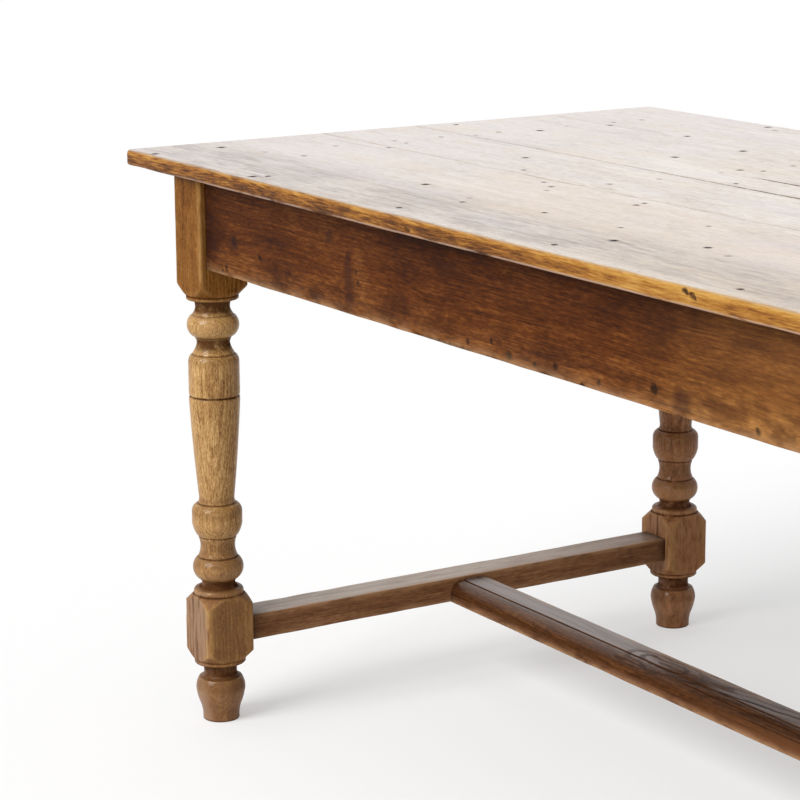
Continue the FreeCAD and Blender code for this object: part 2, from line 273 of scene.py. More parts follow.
# the first colour mixed with the second, or multiplied by it, as far as the amount
def tint(tree, amount, first, second, mode="MIX"):
    node = tree.nodes.new("ShaderNodeMix")
    node.data_type = "RGBA"
    node.blend_type = mode
    plug(tree, node.inputs["Factor"], amount)
    for socket, colour in ((node.inputs[6], first), (node.inputs[7], second)):
        plug(tree, socket, colour if isinstance(colour, bpy.types.NodeSocket) else (*colour, 1))
    return node.outputs[2]


# a colour for each value, on straight lines between the stops
def shades(tree, value, stops):
    node = tree.nodes.new("ShaderNodeValToRGB")
    elements = node.color_ramp.elements
    while len(elements) < len(stops):
        elements.new(middle)
    for element, (place, colour) in zip(elements, stops):
        element.position = place
        element.color = (*colour, 1)
    plug(tree, node.inputs["Fac"], value)
    return node.outputs["Color"]


# a mark that the mesh carries, from 0 to 1
def painted(tree, mark):
    node = tree.nodes.new("ShaderNodeAttribute")
    node.attribute_name = mark
    return node.outputs["Fac"]


# each part of the object coordinate (X, Y, Z) and of the surface's normal (facingX, facingY, facingZ)
def coordinates(tree):
    made = {"tree": tree, "where": tree.nodes.new("ShaderNodeTexCoord").outputs["Object"]}
    normal = tree.nodes.new("ShaderNodeNewGeometry").outputs["Normal"]
    for prefix, vector in (("", made["where"]), ("facing", normal)):
        parts = tree.nodes.new("ShaderNodeSeparateXYZ")
        plug(tree, parts.inputs[0], vector)
        for axis in "XYZ":
            made[prefix + axis] = parts.outputs[axis]
    return made


# noise drawn out along the grain: its length there is its width divided by drawn
def drawnNoise(made, scale, drawn, detail, roughness, place=(0, 0, 0)):
    drawnOut = stretched(made["tree"], made["grain"], (1, 1, drawn), place)
    return cloud(made["tree"], drawnOut, scale, detail, roughness)


# a share times each of its masks
# a mask is the name of a pattern, a coordinate in metres or a part of the normal, alone or with where its
# smooth step starts and ends, and then its values there, unless they are 0 and 1
def masked(made, share, masks):
    for name, *limits in masks:
        value = spread(made["tree"], made[name], *limits) if limits else made[name]
        share = times(made["tree"], share, value)
    return share


# one stain over the colour so far: mixed in, or multiplied by, as far as its share times its masks
def stain(made, share, colour, masks, mode="MIX"):
    made["colour"] = tint(made["tree"], masked(made, share, masks), made["colour"], colour, mode)


# all stains of a table, in its order
def stainAll(made, table):
    for row in table.values():
        stain(made, *row)


hairline = {"shape": (0.03, 2.0, 0.5, (0.3, 0.1, 0.7)), "coreShare": 0.3, "broken": [("patch", 0.46, 0.56)]}


# thin lines where slow noise, drawn out along the grain, passes its middle value, broken into lengths
def hairlines(made, scale, width):
    tree = made["tree"]
    off = figure(tree, "ABSOLUTE", offMiddle(tree, drawnNoise(made, scale, *hairline["shape"]), 1.0))
    line = spread(tree, off, hairline["coreShare"] * width, width, 1.0, 0.0)
    return masked(made, line, hairline["broken"])


spot = {"noise": (160.0, 2.0, 0.6), "ragged": 6 * mm, "coreShare": 0.3}


# soft discs about each place (two coordinates and a size in mm), their rims broken by noise: the greatest of
# the smooth steps of the distance from each, on axes pressed by the flat's values
def spots(made, places, axes, flat):
    tree = made["tree"]
    ragged = shaken(tree, made["where"], made["where"], spot["noise"], (spot["ragged"],) * 3)
    pressed = stretched(tree, ragged, flat)
    dark = 0.0
    for first, second, size in places:
        centre = np.full(3, spot["ragged"] * middle)
        centre[list(axes)] += np.array([first, second]) * mm
        gap = distance(tree, pressed, (centre * flat).tolist())
        disc = spread(tree, gap, spot["coreShare"] * size * mm, size * mm, 1.0, 0.0)
        dark = figure(tree, "MAXIMUM", dark, disc)
    return dark


woodGrain = {                        # what all the woods share; a noise is its scale, detail and roughness
    "turns": {"X": (0, -math.pi / 2, 0), "Y": (math.pi / 2, 0, 0), "Z": (0, 0, 0)},   # Z to the grain
    "swayDrawn": 0.25, "swayDetail": 2.0, "swayRoughness": 0.5,
    "wavePeriod": math.pi / 10, "ringDetail": 3.0, "ringDetailScale": 0.5,
    "noises": {"fibre": (4.0, 0.65), "streak": (3.0, 0.6), "mottle": (4.0, 0.65), "patch": (3.0, 0.55),
               "fleck": (2.0, 0.6), "pore": (2.0, 0.6)},                               # detail and roughness
    "toned": ("ring", "fibre", "streak", "mottle", "patch", "fleck"),
    "rubbedNoise": (90.0, 3.0, 0.6), "rubbedDrawn": 0.3, "rubbedStep": (0.3, 0.62),
    "soiledAndShadedNoise": (60.0, 3.0, 0.6), "soiledAndShadedStep": (0.15, 0.55),
    "roughStep": (0.3, 0.7), "mottleHeight": 0.8, "poreHeight": 0.5, "bumpHeight": 0.5 * mm,
}


# old wood, all of it drawn out along the grain: its tone is the sum of growth rings about a pith line, fine
# fibres, broad streaks, mottling, slow patches and flecks, each by its share; then come dark pores, the
# layers, pale wear, and dark dirt with painted shade where the mesh carries those marks; dirt and shade
# take away wax and shine
def oldWood(name, look, layers=()):
    material = bpy.data.materials.new(name)
    material.use_nodes = True
    tree = material.node_tree
    shader = tree.nodes["Principled BSDF"]
    made = coordinates(tree)
    straight = stretched(tree, made["where"], (1, 1, 1), look["pith"], woodGrain["turns"][look["grain"]])
    swayPlace = stretched(tree, straight, (1, 1, woodGrain["swayDrawn"]))
    swayNoise = (look["swayScale"], woodGrain["swayDetail"], woodGrain["swayRoughness"])
    made["grain"] = shaken(tree, straight, swayPlace, swayNoise, (look["sway"], look["sway"], 0))
    rings = tree.nodes.new("ShaderNodeTexWave")
    rings.wave_type = "RINGS"
    rings.rings_direction = "Z"
    plug(tree, rings.inputs["Vector"], made["grain"])
    rings.inputs["Scale"].default_value = woodGrain["wavePeriod"] / look["ringWidth"]
    rings.inputs["Distortion"].default_value = look["ringWaver"]
    rings.inputs["Detail"].default_value = woodGrain["ringDetail"]
    rings.inputs["Detail Scale"].default_value = woodGrain["ringDetailScale"]
    made["ring"] = rings.outputs["Fac"]
    shares = {"ring": look["ringShare"]}
    for pattern, (detail, roughness) in woodGrain["noises"].items():
        scale, drawn, shares[pattern] = look[pattern]
        made[pattern] = drawnNoise(made, scale, drawn, detail, roughness)
    for mark in skin["marks"]:
        made[mark] = painted(tree, mark)
    tone = middle
    for pattern in woodGrain["toned"]:
        tone = figure(tree, "ADD", tone, offMiddle(tree, made[pattern], shares[pattern]))
    pore = spread(tree, made["pore"], *look["poreCut"])
    made["colour"] = shades(tree, tone, look["shades"])
    made["colour"] = tint(tree, times(tree, pore, shares["pore"]), made["colour"], look["poreColour"])
    made["coat"] = look["coat"]
    made["shine"] = look["shine"]
    for layer in layers:
        layer(made)
    rubbed = stretched(tree, straight, (1, 1, woodGrain["rubbedDrawn"]))
    rubbed = cloud(tree, rubbed, *woodGrain["rubbedNoise"])
    rubbed = times(tree, made["wear"], spread(tree, rubbed, *woodGrain["rubbedStep"]))
    # the dark mark paints dirt and also shade into the colour: hollows, creases and joints darkened as shade
    soiledAndShaded = cloud(tree, straight, *woodGrain["soiledAndShadedNoise"])
    soiledAndShaded = times(tree, made["grimeAndShade"], spread(tree, soiledAndShaded, *woodGrain["soiledAndShadedStep"]))
    colour = tint(tree, times(tree, rubbed, look["wearShare"]), made["colour"], look["wearColour"])
    cleanAndUnshaded = rest(tree, soiledAndShaded)
    height = figure(tree, "ADD", made["fibre"], times(tree, made["mottle"], woodGrain["mottleHeight"]))
    height = figure(tree, "SUBTRACT", height, times(tree, pore, woodGrain["poreHeight"]))
    bump = tree.nodes.new("ShaderNodeBump")
    bump.inputs["Strength"].default_value = look["bump"]
    bump.inputs["Distance"].default_value = woodGrain["bumpHeight"]
    plug(tree, bump.inputs["Height"], height)
    finish = {
        "Base Color": tint(tree, times(tree, soiledAndShaded, look["grimeAndShadeShare"]), colour, look["grimeAndShadeColour"]),
        "Roughness": spread(tree, made["fibre"], *woodGrain["roughStep"], *look["rough"]),
        "Coat Weight": times(tree, cleanAndUnshaded, made["coat"]), "Coat Roughness": look["coatRough"],
        "Specular IOR Level": times(tree, cleanAndUnshaded, made["shine"]), "Normal": bump.outputs["Normal"],
    }
    for socket, value in finish.items():
        plug(tree, shader.inputs[socket], value)
    return material


# boards of the top: their pale shades are the worn pale wood with the white sheen of its wax painted in
topWood = {                          # a pattern is its scale, how drawn out it is and its share
    "grain": "X", "swayScale": 7.0, "sway": 0.03, "ringWidth": 6 * mm, "ringWaver": 2.0, "ringShare": 0.08,
    "fibre": (420.0, 0.02, 0.5), "streak": (150.0, 0.09, 0.45), "mottle": (60.0, 0.22, 0.6),
    "patch": (9.0, 0.4, 0.65), "fleck": (280.0, 0.2, 1.0), "pore": (520.0, 0.06, 0.3),
    # pale shades: worn pale wood, with a painted sheen of the white surroundings
    "shades": [(0.15, (0.22, 0.138, 0.084)), (0.38, (0.47, 0.358, 0.262)), (0.55, (0.575, 0.475, 0.385)),
               (0.82, (0.7, 0.612, 0.53))],
    "poreCut": (0.6, 0.72), "poreColour": (0.2, 0.13, 0.08), "wearShare": 0.45,
    "wearColour": (0.6, 0.42, 0.22), "grimeAndShadeShare": 0.92, "grimeAndShadeColour": (0.04, 0.024, 0.02),
    "rough": (0.32, 0.5), "coat": 1.0, "coatRough": 0.22, "shine": 0.5, "bump": 0.25,
}
boardStains = {
    "hue": (13.0, 0.35, 4.0, 0.65, (0.4, 0.9, 0.2)), "speck": (170.0, 0.4, 3.0, 0.65, (0.7, 0.2, 0.5)),
    "split": (26.0, 0.006),
    "nearEdge": [("Y", -0.43, -0.4)], "leftEnd": [("X", -0.75, -0.1, 0.95, 0.1)],
    "band": [("Y", -0.24, -0.35), ("mottle", 0.38, 0.6, 0.35, 1.0), ("streak", 0.38, 0.6, 0.6, 1.0)],
    "layers": {                      # share, colour and masks
        "yellow": (0.5, (0.62, 0.45, 0.27), [("hue", 0.52, 0.66)]),
        "pink": (0.5, (0.5, 0.4, 0.42), [("hue", 0.48, 0.34)]),
        "warm": (0.4, (0.58, 0.37, 0.22), [("Y", -0.36, -0.27), ("Y", -0.1, -0.19), ("X", -0.78, -0.4),
                                           ("patch", 0.36, 0.56, 0.3, 1.0)]),
        "golden": (0.4, (0.5, 0.34, 0.17), [("X", -0.3, 0.15), ("Y", -0.27, -0.34)]),
        "mauve": (1.0, (0.44, 0.36, 0.39), [("X", -0.5, -0.9), ("mottle", 0.35, 0.6, 0.15, 0.45)]),
        "brown": (0.4, (0.36, 0.22, 0.115), [("streak", 0.5, 0.66), ("patch", 0.58, 0.42)]),
        "bleached": (0.25, (0.74, 0.68, 0.62), [("mottle", 0.52, 0.72)]),
        "greyBand": (0.75, (0.25, 0.195, 0.17), [("band",)]),
        "specks": (1.0, (0.21, 0.145, 0.12), [("speck", 0.55, 0.7), ("Y", -0.2, -0.38, 0.3, 0.75)]),
        "splits": (0.35, (0.12, 0.075, 0.045), [("split",)]),
    },
    "raisedFibre": [("fibre", 0.4, 0.62)], "fibreDull": 0.3, "bandDull": 0.65, "coat": (1.0, 0.2),
}


# years of use: yellow and pink patches, brown streaks left in hollows, bleached spots, and a grey band that
# deepens to the near edge; the wax falls as the sum of what dulls it, the band and the raised fibres, grows
def boardAge(made):
    tree = made["tree"]
    for noise in ("hue", "speck"):
        made[noise] = drawnNoise(made, *boardStains[noise])
    made["split"] = hairlines(made, *boardStains["split"])
    nearEdge = masked(made, 1.0, boardStains["nearEdge"])
    leftEnd = masked(made, 1.0, boardStains["leftEnd"])
    made["band"] = masked(made, figure(tree, "MAXIMUM", nearEdge, leftEnd), boardStains["band"])
    stainAll(made, boardStains["layers"])
    raised = masked(made, boardStains["fibreDull"], boardStains["raisedFibre"])
    dull = figure(tree, "ADD", raised, times(tree, made["band"], boardStains["bandDull"]), True)
    made["coat"] = spread(tree, dull, 0.0, 1.0, *boardStains["coat"])


rimTone = {
    "fibre": (520.0, 0.07, 4.0, 0.75), "gain": [("X", -0.4, 0.1, 1.3, 0.9)],
    "shares": {"patch": 0.4, "mottle": 0.6},
    "lighter": [("X", -0.25, 0.1, -0.06, 0.14), ("X", -0.95, -0.7, -0.04, 0.0),
                # painted light: the rim lighter towards its upper arris, as lit from above
                ("Z", cadHigh.z - 8 * mm, cadHigh.z - 3 * mm, -0.02, 0.12)],
    "shades": [(0.26, (0.055, 0.018, 0.004)), (0.44, (0.175, 0.062, 0.011)), (0.58, (0.32, 0.132, 0.022)),
               (0.8, (0.48, 0.265, 0.062))],
    "step": (0.0, 0.6), "coat": 0.03, "shine": 0.07,
    "lowLine": (0.7, (0.44, 0.3, 0.225), [("Z", cadHigh.z - 16.3 * mm, cadHigh.z - 17.6 * mm), ("rim",),
                                          ("mottle", 0.36, 0.52), ("X", -1.0, -0.85, 0.1, 1.0)]),
}


# the outer rim of the top keeps its golden wax: its tone is the sum of fibres, patches and mottling, lighter
# to the right, lighter upwards as painted light from above, with a pale line along its lower arris
def goldenRim(made):
    tree = made["tree"]
    gain = masked(made, 1.0, rimTone["gain"])
    tone = figure(tree, "ADD", offMiddle(tree, drawnNoise(made, *rimTone["fibre"]), gain), middle)
    for pattern, share in rimTone["shares"].items():
        tone = figure(tree, "ADD", tone, offMiddle(tree, made[pattern], share))
    for mask in rimTone["lighter"]:
        tone = figure(tree, "ADD", tone, masked(made, 1.0, [mask]))
    made["colour"] = tint(tree, made["rim"], made["colour"], shades(tree, tone, rimTone["shades"]))
    coatLeft = spread(tree, made["rim"], *rimTone["step"], 1.0, rimTone["coat"])
    made["coat"] = times(tree, made["coat"], coatLeft)
    made["shine"] = spread(tree, made["rim"], *rimTone["step"], made["shine"], rimTone["shine"])
    stain(made, *rimTone["lowLine"])


boardSpots = {                       # along, across and size, in mm
    "places": [
        (-1042, -319, 10), (-1034, -421, 9), (-599, -277, 9), (-455, -318, 6), (-730, -43, 8),
        (-636, -109, 6), (-535, -149, 6), (-499, -163, 6), (-950, 132, 9), (-957, 30, 5), (-1073, 73, 7),
        (-943, 247, 8), (-785, 261, 8), (-622, 227, 10), (-625, 118, 9), (-484, 111, 8), (-461, 129, 6),
        (-395, 34, 6), (-325, -167, 7), (-330, -151, 6), (-337, -285, 6), (-140, -333, 9), (-50, -279, 8),
        (-800, 414, 9), (-914, -136, 6), (-906, -270, 6), (-206, -276, 5), (-160, -192, 5), (-940, -92, 5),
        (-776, -417, 9), (62, 248, 6), (118, -152, 7), (247, 61, 8), (338, 331, 7), (412, -297, 7),
        (533, 142, 8), (641, -38, 6), (758, 263, 7), (823, -221, 8), (884, 379, 6), (931, 42, 7),
        (1012, -338, 8)],
    "dashes": [(-450, -119, 3), (-856, 257, 3), (-127, -333, 3)], "axes": (0, 1),
    "flat": (1, 1, 0), "dashFlat": (0.09, 1, 0), "dashShare": 0.5,
    "share": 0.95, "colour": (0.02, 0.015, 0.018),
}


# dark nail stains, dents and dashes on the upper face: the greater of the two kinds of spot, off the rim
def boardMarks(made):
    tree = made["tree"]
    dark = spots(made, boardSpots["places"], boardSpots["axes"], boardSpots["flat"])
    dashes = spots(made, boardSpots["dashes"], boardSpots["axes"], boardSpots["dashFlat"])
    dark = figure(tree, "MAXIMUM", dark, times(tree, dashes, boardSpots["dashShare"]))
    made["spot"] = times(tree, dark, rest(tree, made["rim"]))
    stain(made, boardSpots["share"], boardSpots["colour"], [("spot",)])
    for finish in ("coat", "shine"):
        made[finish] = times(tree, made[finish], rest(tree, made["spot"]))


boards = {
    "names": ["front_plank", "front_middle_plank", "back_middle_plank", "back_plank"],
    "piths": [(0.1, 0.12, 0), (-0.3, 0.2, 3), (0.05, -0.16, 7), (0.2, -0.3, 11)],
    "spacing": 5 * mm, "step": 6 * mm, "arris": 5.5 * mm, "under": 3.5 * mm, "seamArris": 0.6 * mm,
    "corner": 15 * mm, "cornerReach": 60 * mm, "rimRows": np.arange(6, 16, 1) * mm,
    "endRows": np.array([0, 0.15, 0.5, 1, 1.6, 2.4, 3.2, 4, 5.5, 7, 8.5, 11]) * mm, "endLength": 15 * mm,
    "tongueThick": 6 * mm, "tongueClear": 0.3 * mm, "tongueDepth": 7 * mm, "tongueShort": 2 * mm,
    "topSkin": 0.4 * mm, "hollow": 0.35 * mm, "hollowSize": (0.45, 0.09, 1),
    "ripple": 0.12 * mm, "rippleSize": (0.09, 0.02, 1), "rippleSeed": 5,
    "seamGaps": [0.45 * mm, 0.7 * mm, 0.6 * mm], "seamOpens": [0, 3.3 * mm, 0],
    "openFrom": -760 * mm, "openOver": 480 * mm, "seamDirt": [0.4, 0.9, 0.35],
    "dirtOver": 900 * mm, "dirtLeast": 0.5, "dirtReach": 1.2 * mm,
    "crackPlace": 83 * mm, "crackStart": -442 * mm, "crackOver": 70 * mm, "crackDepth": 3 * mm,
    "crackHalf": 1.8 * mm, "crackRows": (1.4, 1, 0, -1, -1.4), "crackCore": 0.1 * mm, "crackDirty": 1.2,
    "chip": 0.9 * mm, "chipSize": (0.05, 0.03, 0.03), "chipSeed": 9,
    # place along, half length, how far down, depth
    "torn": [(112, 5, 4.5, 3.4), (125, 6, 8, 3.6), (-388, 7, 13, 1.5), (610, 12, 5, 2.6)],
    "tornStep": 0.1, "tornRun": 1.2, "tornSlant": 0.25, "tornTall": 3 * mm, "tornGain": 1.7,
    "tornRough": 0.6, "tornCut": 0.45, "tornSize": (4 * mm, 1, 2.5 * mm), "tornSeed": 17, "outward": 0.1,
    "rimFrom": 0.2 * mm, "rimOver": 0.8 * mm, "rimDeep": 6 * mm,
    "wearPlace": 1.1 * mm, "wearReach": 1.3 * mm,
}


# corner rows of one board's section: tongue at the back and groove in front, where a neighbour lies
def boardSection(front, back, bottom, top, first, last):
    half = boards["tongueThick"] / 2
    room = half + boards["tongueClear"]
    level = (bottom + top) / 2
    tip = back + boards["tongueDepth"] - boards["tongueShort"]
    deep = front + boards["tongueDepth"]
    rows = [(front, top - down, 0) for down in boards["rimRows"]] if first else []
    rows += [(front, bottom, boards["under"] * first), (back, bottom, boards["under"] * last)]
    if not last:
        rows += [(back, level - half, 0), (tip, level - half, 0),
                 (tip, level + half, 0), (back, level + half, 0)]
    rows += [(back, top, boards["arris"] if last else boards["seamArris"])]
    if front < boards["crackPlace"] < back:
        place, wide = boards["crackPlace"], boards["crackHalf"]
        rows += [(place + wide * side, top, 0) for side in boards["crackRows"]]
    rows += [(front, top, boards["arris"] if first else boards["seamArris"])]
    if not first:
        rows += [(front, level + room, 0), (deep, level + room, 0),
                 (deep, level - room, 0), (front, level - room, 0)]
    return rows


# stations along a board: close rows at the ends, even steps between them, and close rows at the torn spots
def boardStations(left, right, first):
    inner = evenly(left + boards["endLength"], right - boards["endLength"], boards["step"])
    stations = [left + boards["endRows"], inner, right - boards["endRows"]]
    if first:
        run = evenly(-1, 1, boards["tornStep"]) * boards["tornRun"]
        stations += [(row[0] + run * row[1]) * mm for row in boards["torn"]]
    return np.sort(np.concatenate(stations))


# torn spots of the front arris: each one's depth where e^-(u^4 + v^4), roughened by noise, is past its cut
def tornDepth(rings, top):
    total = 0.0
    for place, half, down, depth in np.array(boards["torn"]) * mm:
        run = rings[..., 0] - place
        fall = rings[..., 2] - top + down + boards["tornSlant"] * run
        bite = boards["tornGain"] * np.exp(-(run / half) ** 4 - (fall / boards["tornTall"]) ** 4)
        rough = boards["tornRough"] * lumps(rings, boards["tornSize"], boards["tornSeed"])
        total = total + depth * np.clip(bite + rough - boards["tornCut"], 0, 1)
    return total


# board surface: the section sunk by slow hollows and fine ripples, opened at the crack and at the seam,
# pushed in along its normals where it is worn, and rounded to the ends and corners of the top
def makeBoards():
    names = boards["names"]
    low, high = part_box(names[0])
    fronts = [cadLow.y] + [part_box(name)[0].y for name in names[1:]]
    backs = [front - gap for front, gap in zip(fronts[1:], boards["seamGaps"])] + [cadHigh.y]
    for number, (name, front, back) in enumerate(zip(names, fronts, backs)):
        first, last = number == 0, number == len(names) - 1
        rows = boardSection(front, back, low.z, high.z, first, last)
        section, normals, nearness = roundedOutline(rows, boards["spacing"])
        rings = carry(section, boardStations(low.x, high.x, first), (0, 1, 2))
        x, y, z = (rings[..., axis] for axis in range(3))              # views, so changes go into the rings
        onTop = (section[:, 1] > high.z - boards["topSkin"])[None, :]
        sunk = boards["hollow"] * swell(rings, boards["hollowSize"], number)
        sunk = sunk + boards["ripple"] * swell(rings, boards["rippleSize"], number + boards["rippleSeed"])
        z -= np.where(onTop, sunk, 0)
        fromCrack = np.abs(section[:, 0] - boards["crackPlace"])[None, :]
        opened = ramp(x, boards["crackStart"], boards["crackOver"])
        z -= np.where(onTop & (fromCrack < boards["crackCore"]), opened * boards["crackDepth"], 0)
        if not last:
            opening = ramp(x, boards["openFrom"], boards["openOver"]) * fade(back - y, boards["cornerReach"])
            y -= boards["seamOpens"][number] * opening
        inset = np.minimum(x - low.x, high.x - x)
        chips = np.clip(lumps(rings, boards["chipSize"], boards["chipSeed"]), 0, 1)
        worn = nearness[None, :] * (first or last) * boards["chip"] * chips
        if first:
            worn = worn + tornDepth(rings, high.z) * (normals[:, 0] < -boards["outward"])
        rings[..., 1:] -= normals[None] * worn[..., None]
        fromFront, fromBack = y - cadLow.y, cadHigh.y - y
        drop = roundedDrop(inset, boards["corner"])
        y += drop * fade(fromFront, boards["cornerReach"])
        y -= drop * fade(fromBack, boards["cornerReach"])
        z[:] = np.minimum(z, high.z - roundedDrop(inset, boards["arris"]))
        z[:] = np.maximum(z, low.z + np.clip(boards["under"] - inset, 0, None))
        outer = np.minimum(np.minimum(fromFront, fromBack), inset) < boards["rimDeep"]
        down = high.z - z
        grimeAndShade = np.where(onTop & (fromCrack < boards["crackDirty"] * boards["crackHalf"]), opened, 0)
        for side, seam in ((front, number - 1), (back, number)):
            if 0 <= seam < len(boards["seamDirt"]):
                off = np.abs(y - side)
                dirt = np.maximum(ramp(x, cadLow.x, boards["dirtOver"]), boards["dirtLeast"])
                dirt = boards["seamDirt"][seam] * dirt
                grimeAndShade = grimeAndShade + dirt * fade(off, boards["dirtReach"])
                grimeAndShade = grimeAndShade + (off < boards["tongueDepth"]) * (down > mm)
        marks = {"rim": ramp(down, boards["rimFrom"], boards["rimOver"]) * outer,
                 "wear": fade(np.abs(down - boards["wearPlace"]), boards["wearReach"]) * outer,
                 "grimeAndShade": grimeAndShade + ramp(worn, mm, mm)}
        look = {**topWood, "pith": boards["piths"][number]}
        material = oldWood("wood_" + name, look, [boardAge, goldenRim, boardMarks])
        addPiece(name.replace("plank", "board"), rings, marks, material, name)


makeBoards()

# turned legs
legWood = {
    "grain": "Z", "swayScale": 14.0, "sway": 0.012,
    "ringWidth": 2.6 * mm, "ringWaver": 2.5, "ringShare": 0.12,
    "fibre": (900.0, 0.02, 0.7), "streak": (180.0, 0.06, 0.28), "mottle": (120.0, 0.4, 0.5),
    "patch": (13.0, 0.4, 0.5), "fleck": (760.0, 0.3, 0.75), "pore": (800.0, 0.14, 0.3),
    "shades": [(0.2, (0.13, 0.05, 0.014)), (0.4, (0.31, 0.16, 0.05)), (0.58, (0.47, 0.275, 0.1)),
               (0.82, (0.66, 0.45, 0.21))],
    "poreCut": (0.58, 0.7), "poreColour": (0.1, 0.038, 0.011), "wearShare": 0.6,
    "wearColour": (0.44, 0.25, 0.09), "grimeAndShadeShare": 0.9, "grimeAndShadeColour": (0.06, 0.02, 0.007),
    "rough": (0.32, 0.48), "coat": 0.04, "coatRough": 0.15, "shine": 0.1, "bump": 0.4,
}
legStains = {
    "high": [("Z", 0.572, 0.582)], "block": [("Z", 0.183, 0.176), ("Z", 0.079, 0.085)],
    "lowShare": 0.75, "lowMasks": [("Z", 0.3, 0.17), ("mottle", 0.35, 0.6, 0.4, 1.0)],
    # dust on the front of the low block, lighter there also as painted light on the side that faces the lamp
    "dustAndLightShare": 0.7, "dustAndLightColour": (0.35, 0.235, 0.155),
    "dustAndLightMasks": [("Z", 0.2, 0.17), ("facingY", -0.75, -0.95)],
    "layers": {                      # share, colour and masks
        "red": (0.45, (0.2, 0.075, 0.022), [("patch", 0.5, 0.62), ("mottle", 0.42, 0.58)]),
        "darkWax": (1.0, (0.48, 0.335, 0.18), [("high",)], "MULTIPLY"),
        "lines": (0.75, (0.1, 0.04, 0.015), [("block",), ("streak", 0.5, 0.64),
                                             ("facingY", -0.2, -0.8, 0.2, 1.0)]),
        "foot": (1.0, (0.76, 0.67, 0.62), [("Z", 0.0, 0.42, 1.0, 0.0)], "MULTIPLY"),
    },
    "shine": (0.05, 0.015), "coat": (0.32, 0.03),
}


# the lower part takes its own colour, and pale dust with painted light on its front, which faces the lamp, by
# how far it has been kicked; the upper block has kept its dark wax; shine and wax fall from their first to
# their second value on the blocks
def legAge(made, lowColour, kicks):
    tree = made["tree"]
    for zone in ("high", "block"):
        made[zone] = masked(made, 1.0, legStains[zone])
    stain(made, legStains["lowShare"], lowColour, legStains["lowMasks"])
    stain(made, legStains["dustAndLightShare"] * kicks, legStains["dustAndLightColour"], legStains["dustAndLightMasks"])
    stainAll(made, legStains["layers"])
    made["shine"] = spread(tree, made["high"], 0.0, 1.0, *legStains["shine"])
    blocks = figure(tree, "MAXIMUM", made["block"], made["high"])
    made["coat"] = spread(tree, blocks, 0.0, 1.0, *legStains["coat"])


legs = {
    "step": 1.0 * mm, "blockStep": 4 * mm, "blockRadius": 51 * mm, "columns": 28, "crowded": 0.45,
    "arris": 3.2 * mm, "lowArris": 8 * mm, "soften": 0.3 * mm, "noiseRadius": 50 * mm, "lowPart": 300 * mm,
    "kickSize": (0.06, 0.06, 0.12), "kickBase": 0.55, "kickSeed": 2,
    "lowBand": 6.5 * mm, "highBand": 3 * mm, "bandShare": 0.55,
    "chip": 1.2 * mm, "chipSize": (0.012, 0.012, 0.02), "chipGain": 2, "chipCut": 0.9, "highChipShare": 0.2,
    "drift": 0.25 * mm, "driftSize": (0.03, 0.03, 0.06), "driftSeed": 11, "driftOver": 30 * mm,
    "fineBlur": 3 * mm, "fineHollow": 0.9 * mm, "broadBlur": 8 * mm, "broadHollow": 5 * mm,
    "broadMost": 0.7, "proud": 2.2 * mm,
    # height, depth and half width of each turning line
    "cuts": [(555.4, 1.1, 1.2), (526.4, 0.8, 1.0), (502.9, 1.1, 1.1), (446.8, 1.5, 1.4), (300.8, 0.9, 1.0),
             (255.4, 1.1, 1.1), (227.2, 1.1, 1.1), (196.6, 0.8, 1.0)],
    # height, reach and darkening of each neck, for its dirt and its painted shade
    "necks": [(568, 10, 0.75), (518, 9, 0.75), (190, 7, 0.75), (72, 9, 0.8), (242, 13, 0.2),
              (446.8, 1.5, 1.0), (292, 9, 0.35), (222, 6, 0.3), (51, 9, 0.4), (497, 6, 0.25),
              (581.3, 1.4, 0.8), (575.6, 1.2, 0.6), (80, 1.5, 0.8), (86, 1.2, 0.5), (176.6, 1.3, 0.7),
              (0, 2.5, 0.8)],
    # pith, tone of the wood, colour of the lower part, and how far kicks have rounded the low block
    "trees": {"leg_front_left": ((0.13, -0.09, 0), (1, 1, 1), (0.2, 0.095, 0.046), 1.0),
              "leg_front_right": ((0.08, 0.1, 2), (0.92, 0.9, 0.88), (0.2, 0.095, 0.046), 0.8),
              "leg_back_left": ((0.1, -0.07, 5), (0.7, 0.53, 0.56), (0.46, 0.24, 0.118), 0.3),
              "leg_back_right": ((0.06, 0.11, 8), (0.74, 0.62, 0.62), (0.26, 0.125, 0.058), 0.5)},
    "outline": [                      # radius, height, bow of the next stretch as a share of its chord
        (23, 0, 0.207), (24.6, 2, -0.05), (27.6, 22, 0.03), (32.4, 38, 0.05), (33.1, 47, 0.06), (29, 59, 0),
        (27, 59, -0.12), (22.3, 65.3, 0), (22.3, 80, 0), (33.5, 80, 0), (34.5, 81, 0), (34.5, 85.5, 0),
        (52, 103, 0), (52, 158.3, 0), (33.8, 176.5, 0), (33.4, 179.2, 0.18), (30.5, 184.2, -0.15),
        (22.5, 188.8, 0), (22.3, 191.5, -0.1), (25.2, 196.3, 0.255), (26.9, 227.4, -0.12),
        (26.2, 255.4, 0.06), (33.6, 273.5, 0), (33.6, 289.5, 0.15), (25.8, 300.8, -0.1),
        (23.7, 309.5, 0.006), (33.8, 440, 0), (33.8, 491.6, 0.1), (29.2, 502.9, -0.08), (21.9, 518, -0.07),
        (25, 525.6, 0.267), (28, 555.6, -0.1), (22.9, 564.8, -0.05), (24.6, 574, -0.1), (26.5, 576, 0),
        (33.5, 576, 0), (34.5, 577, 0), (34.5, 581.5, 0), (52, 599, 0), (52, 740, 0)],
}


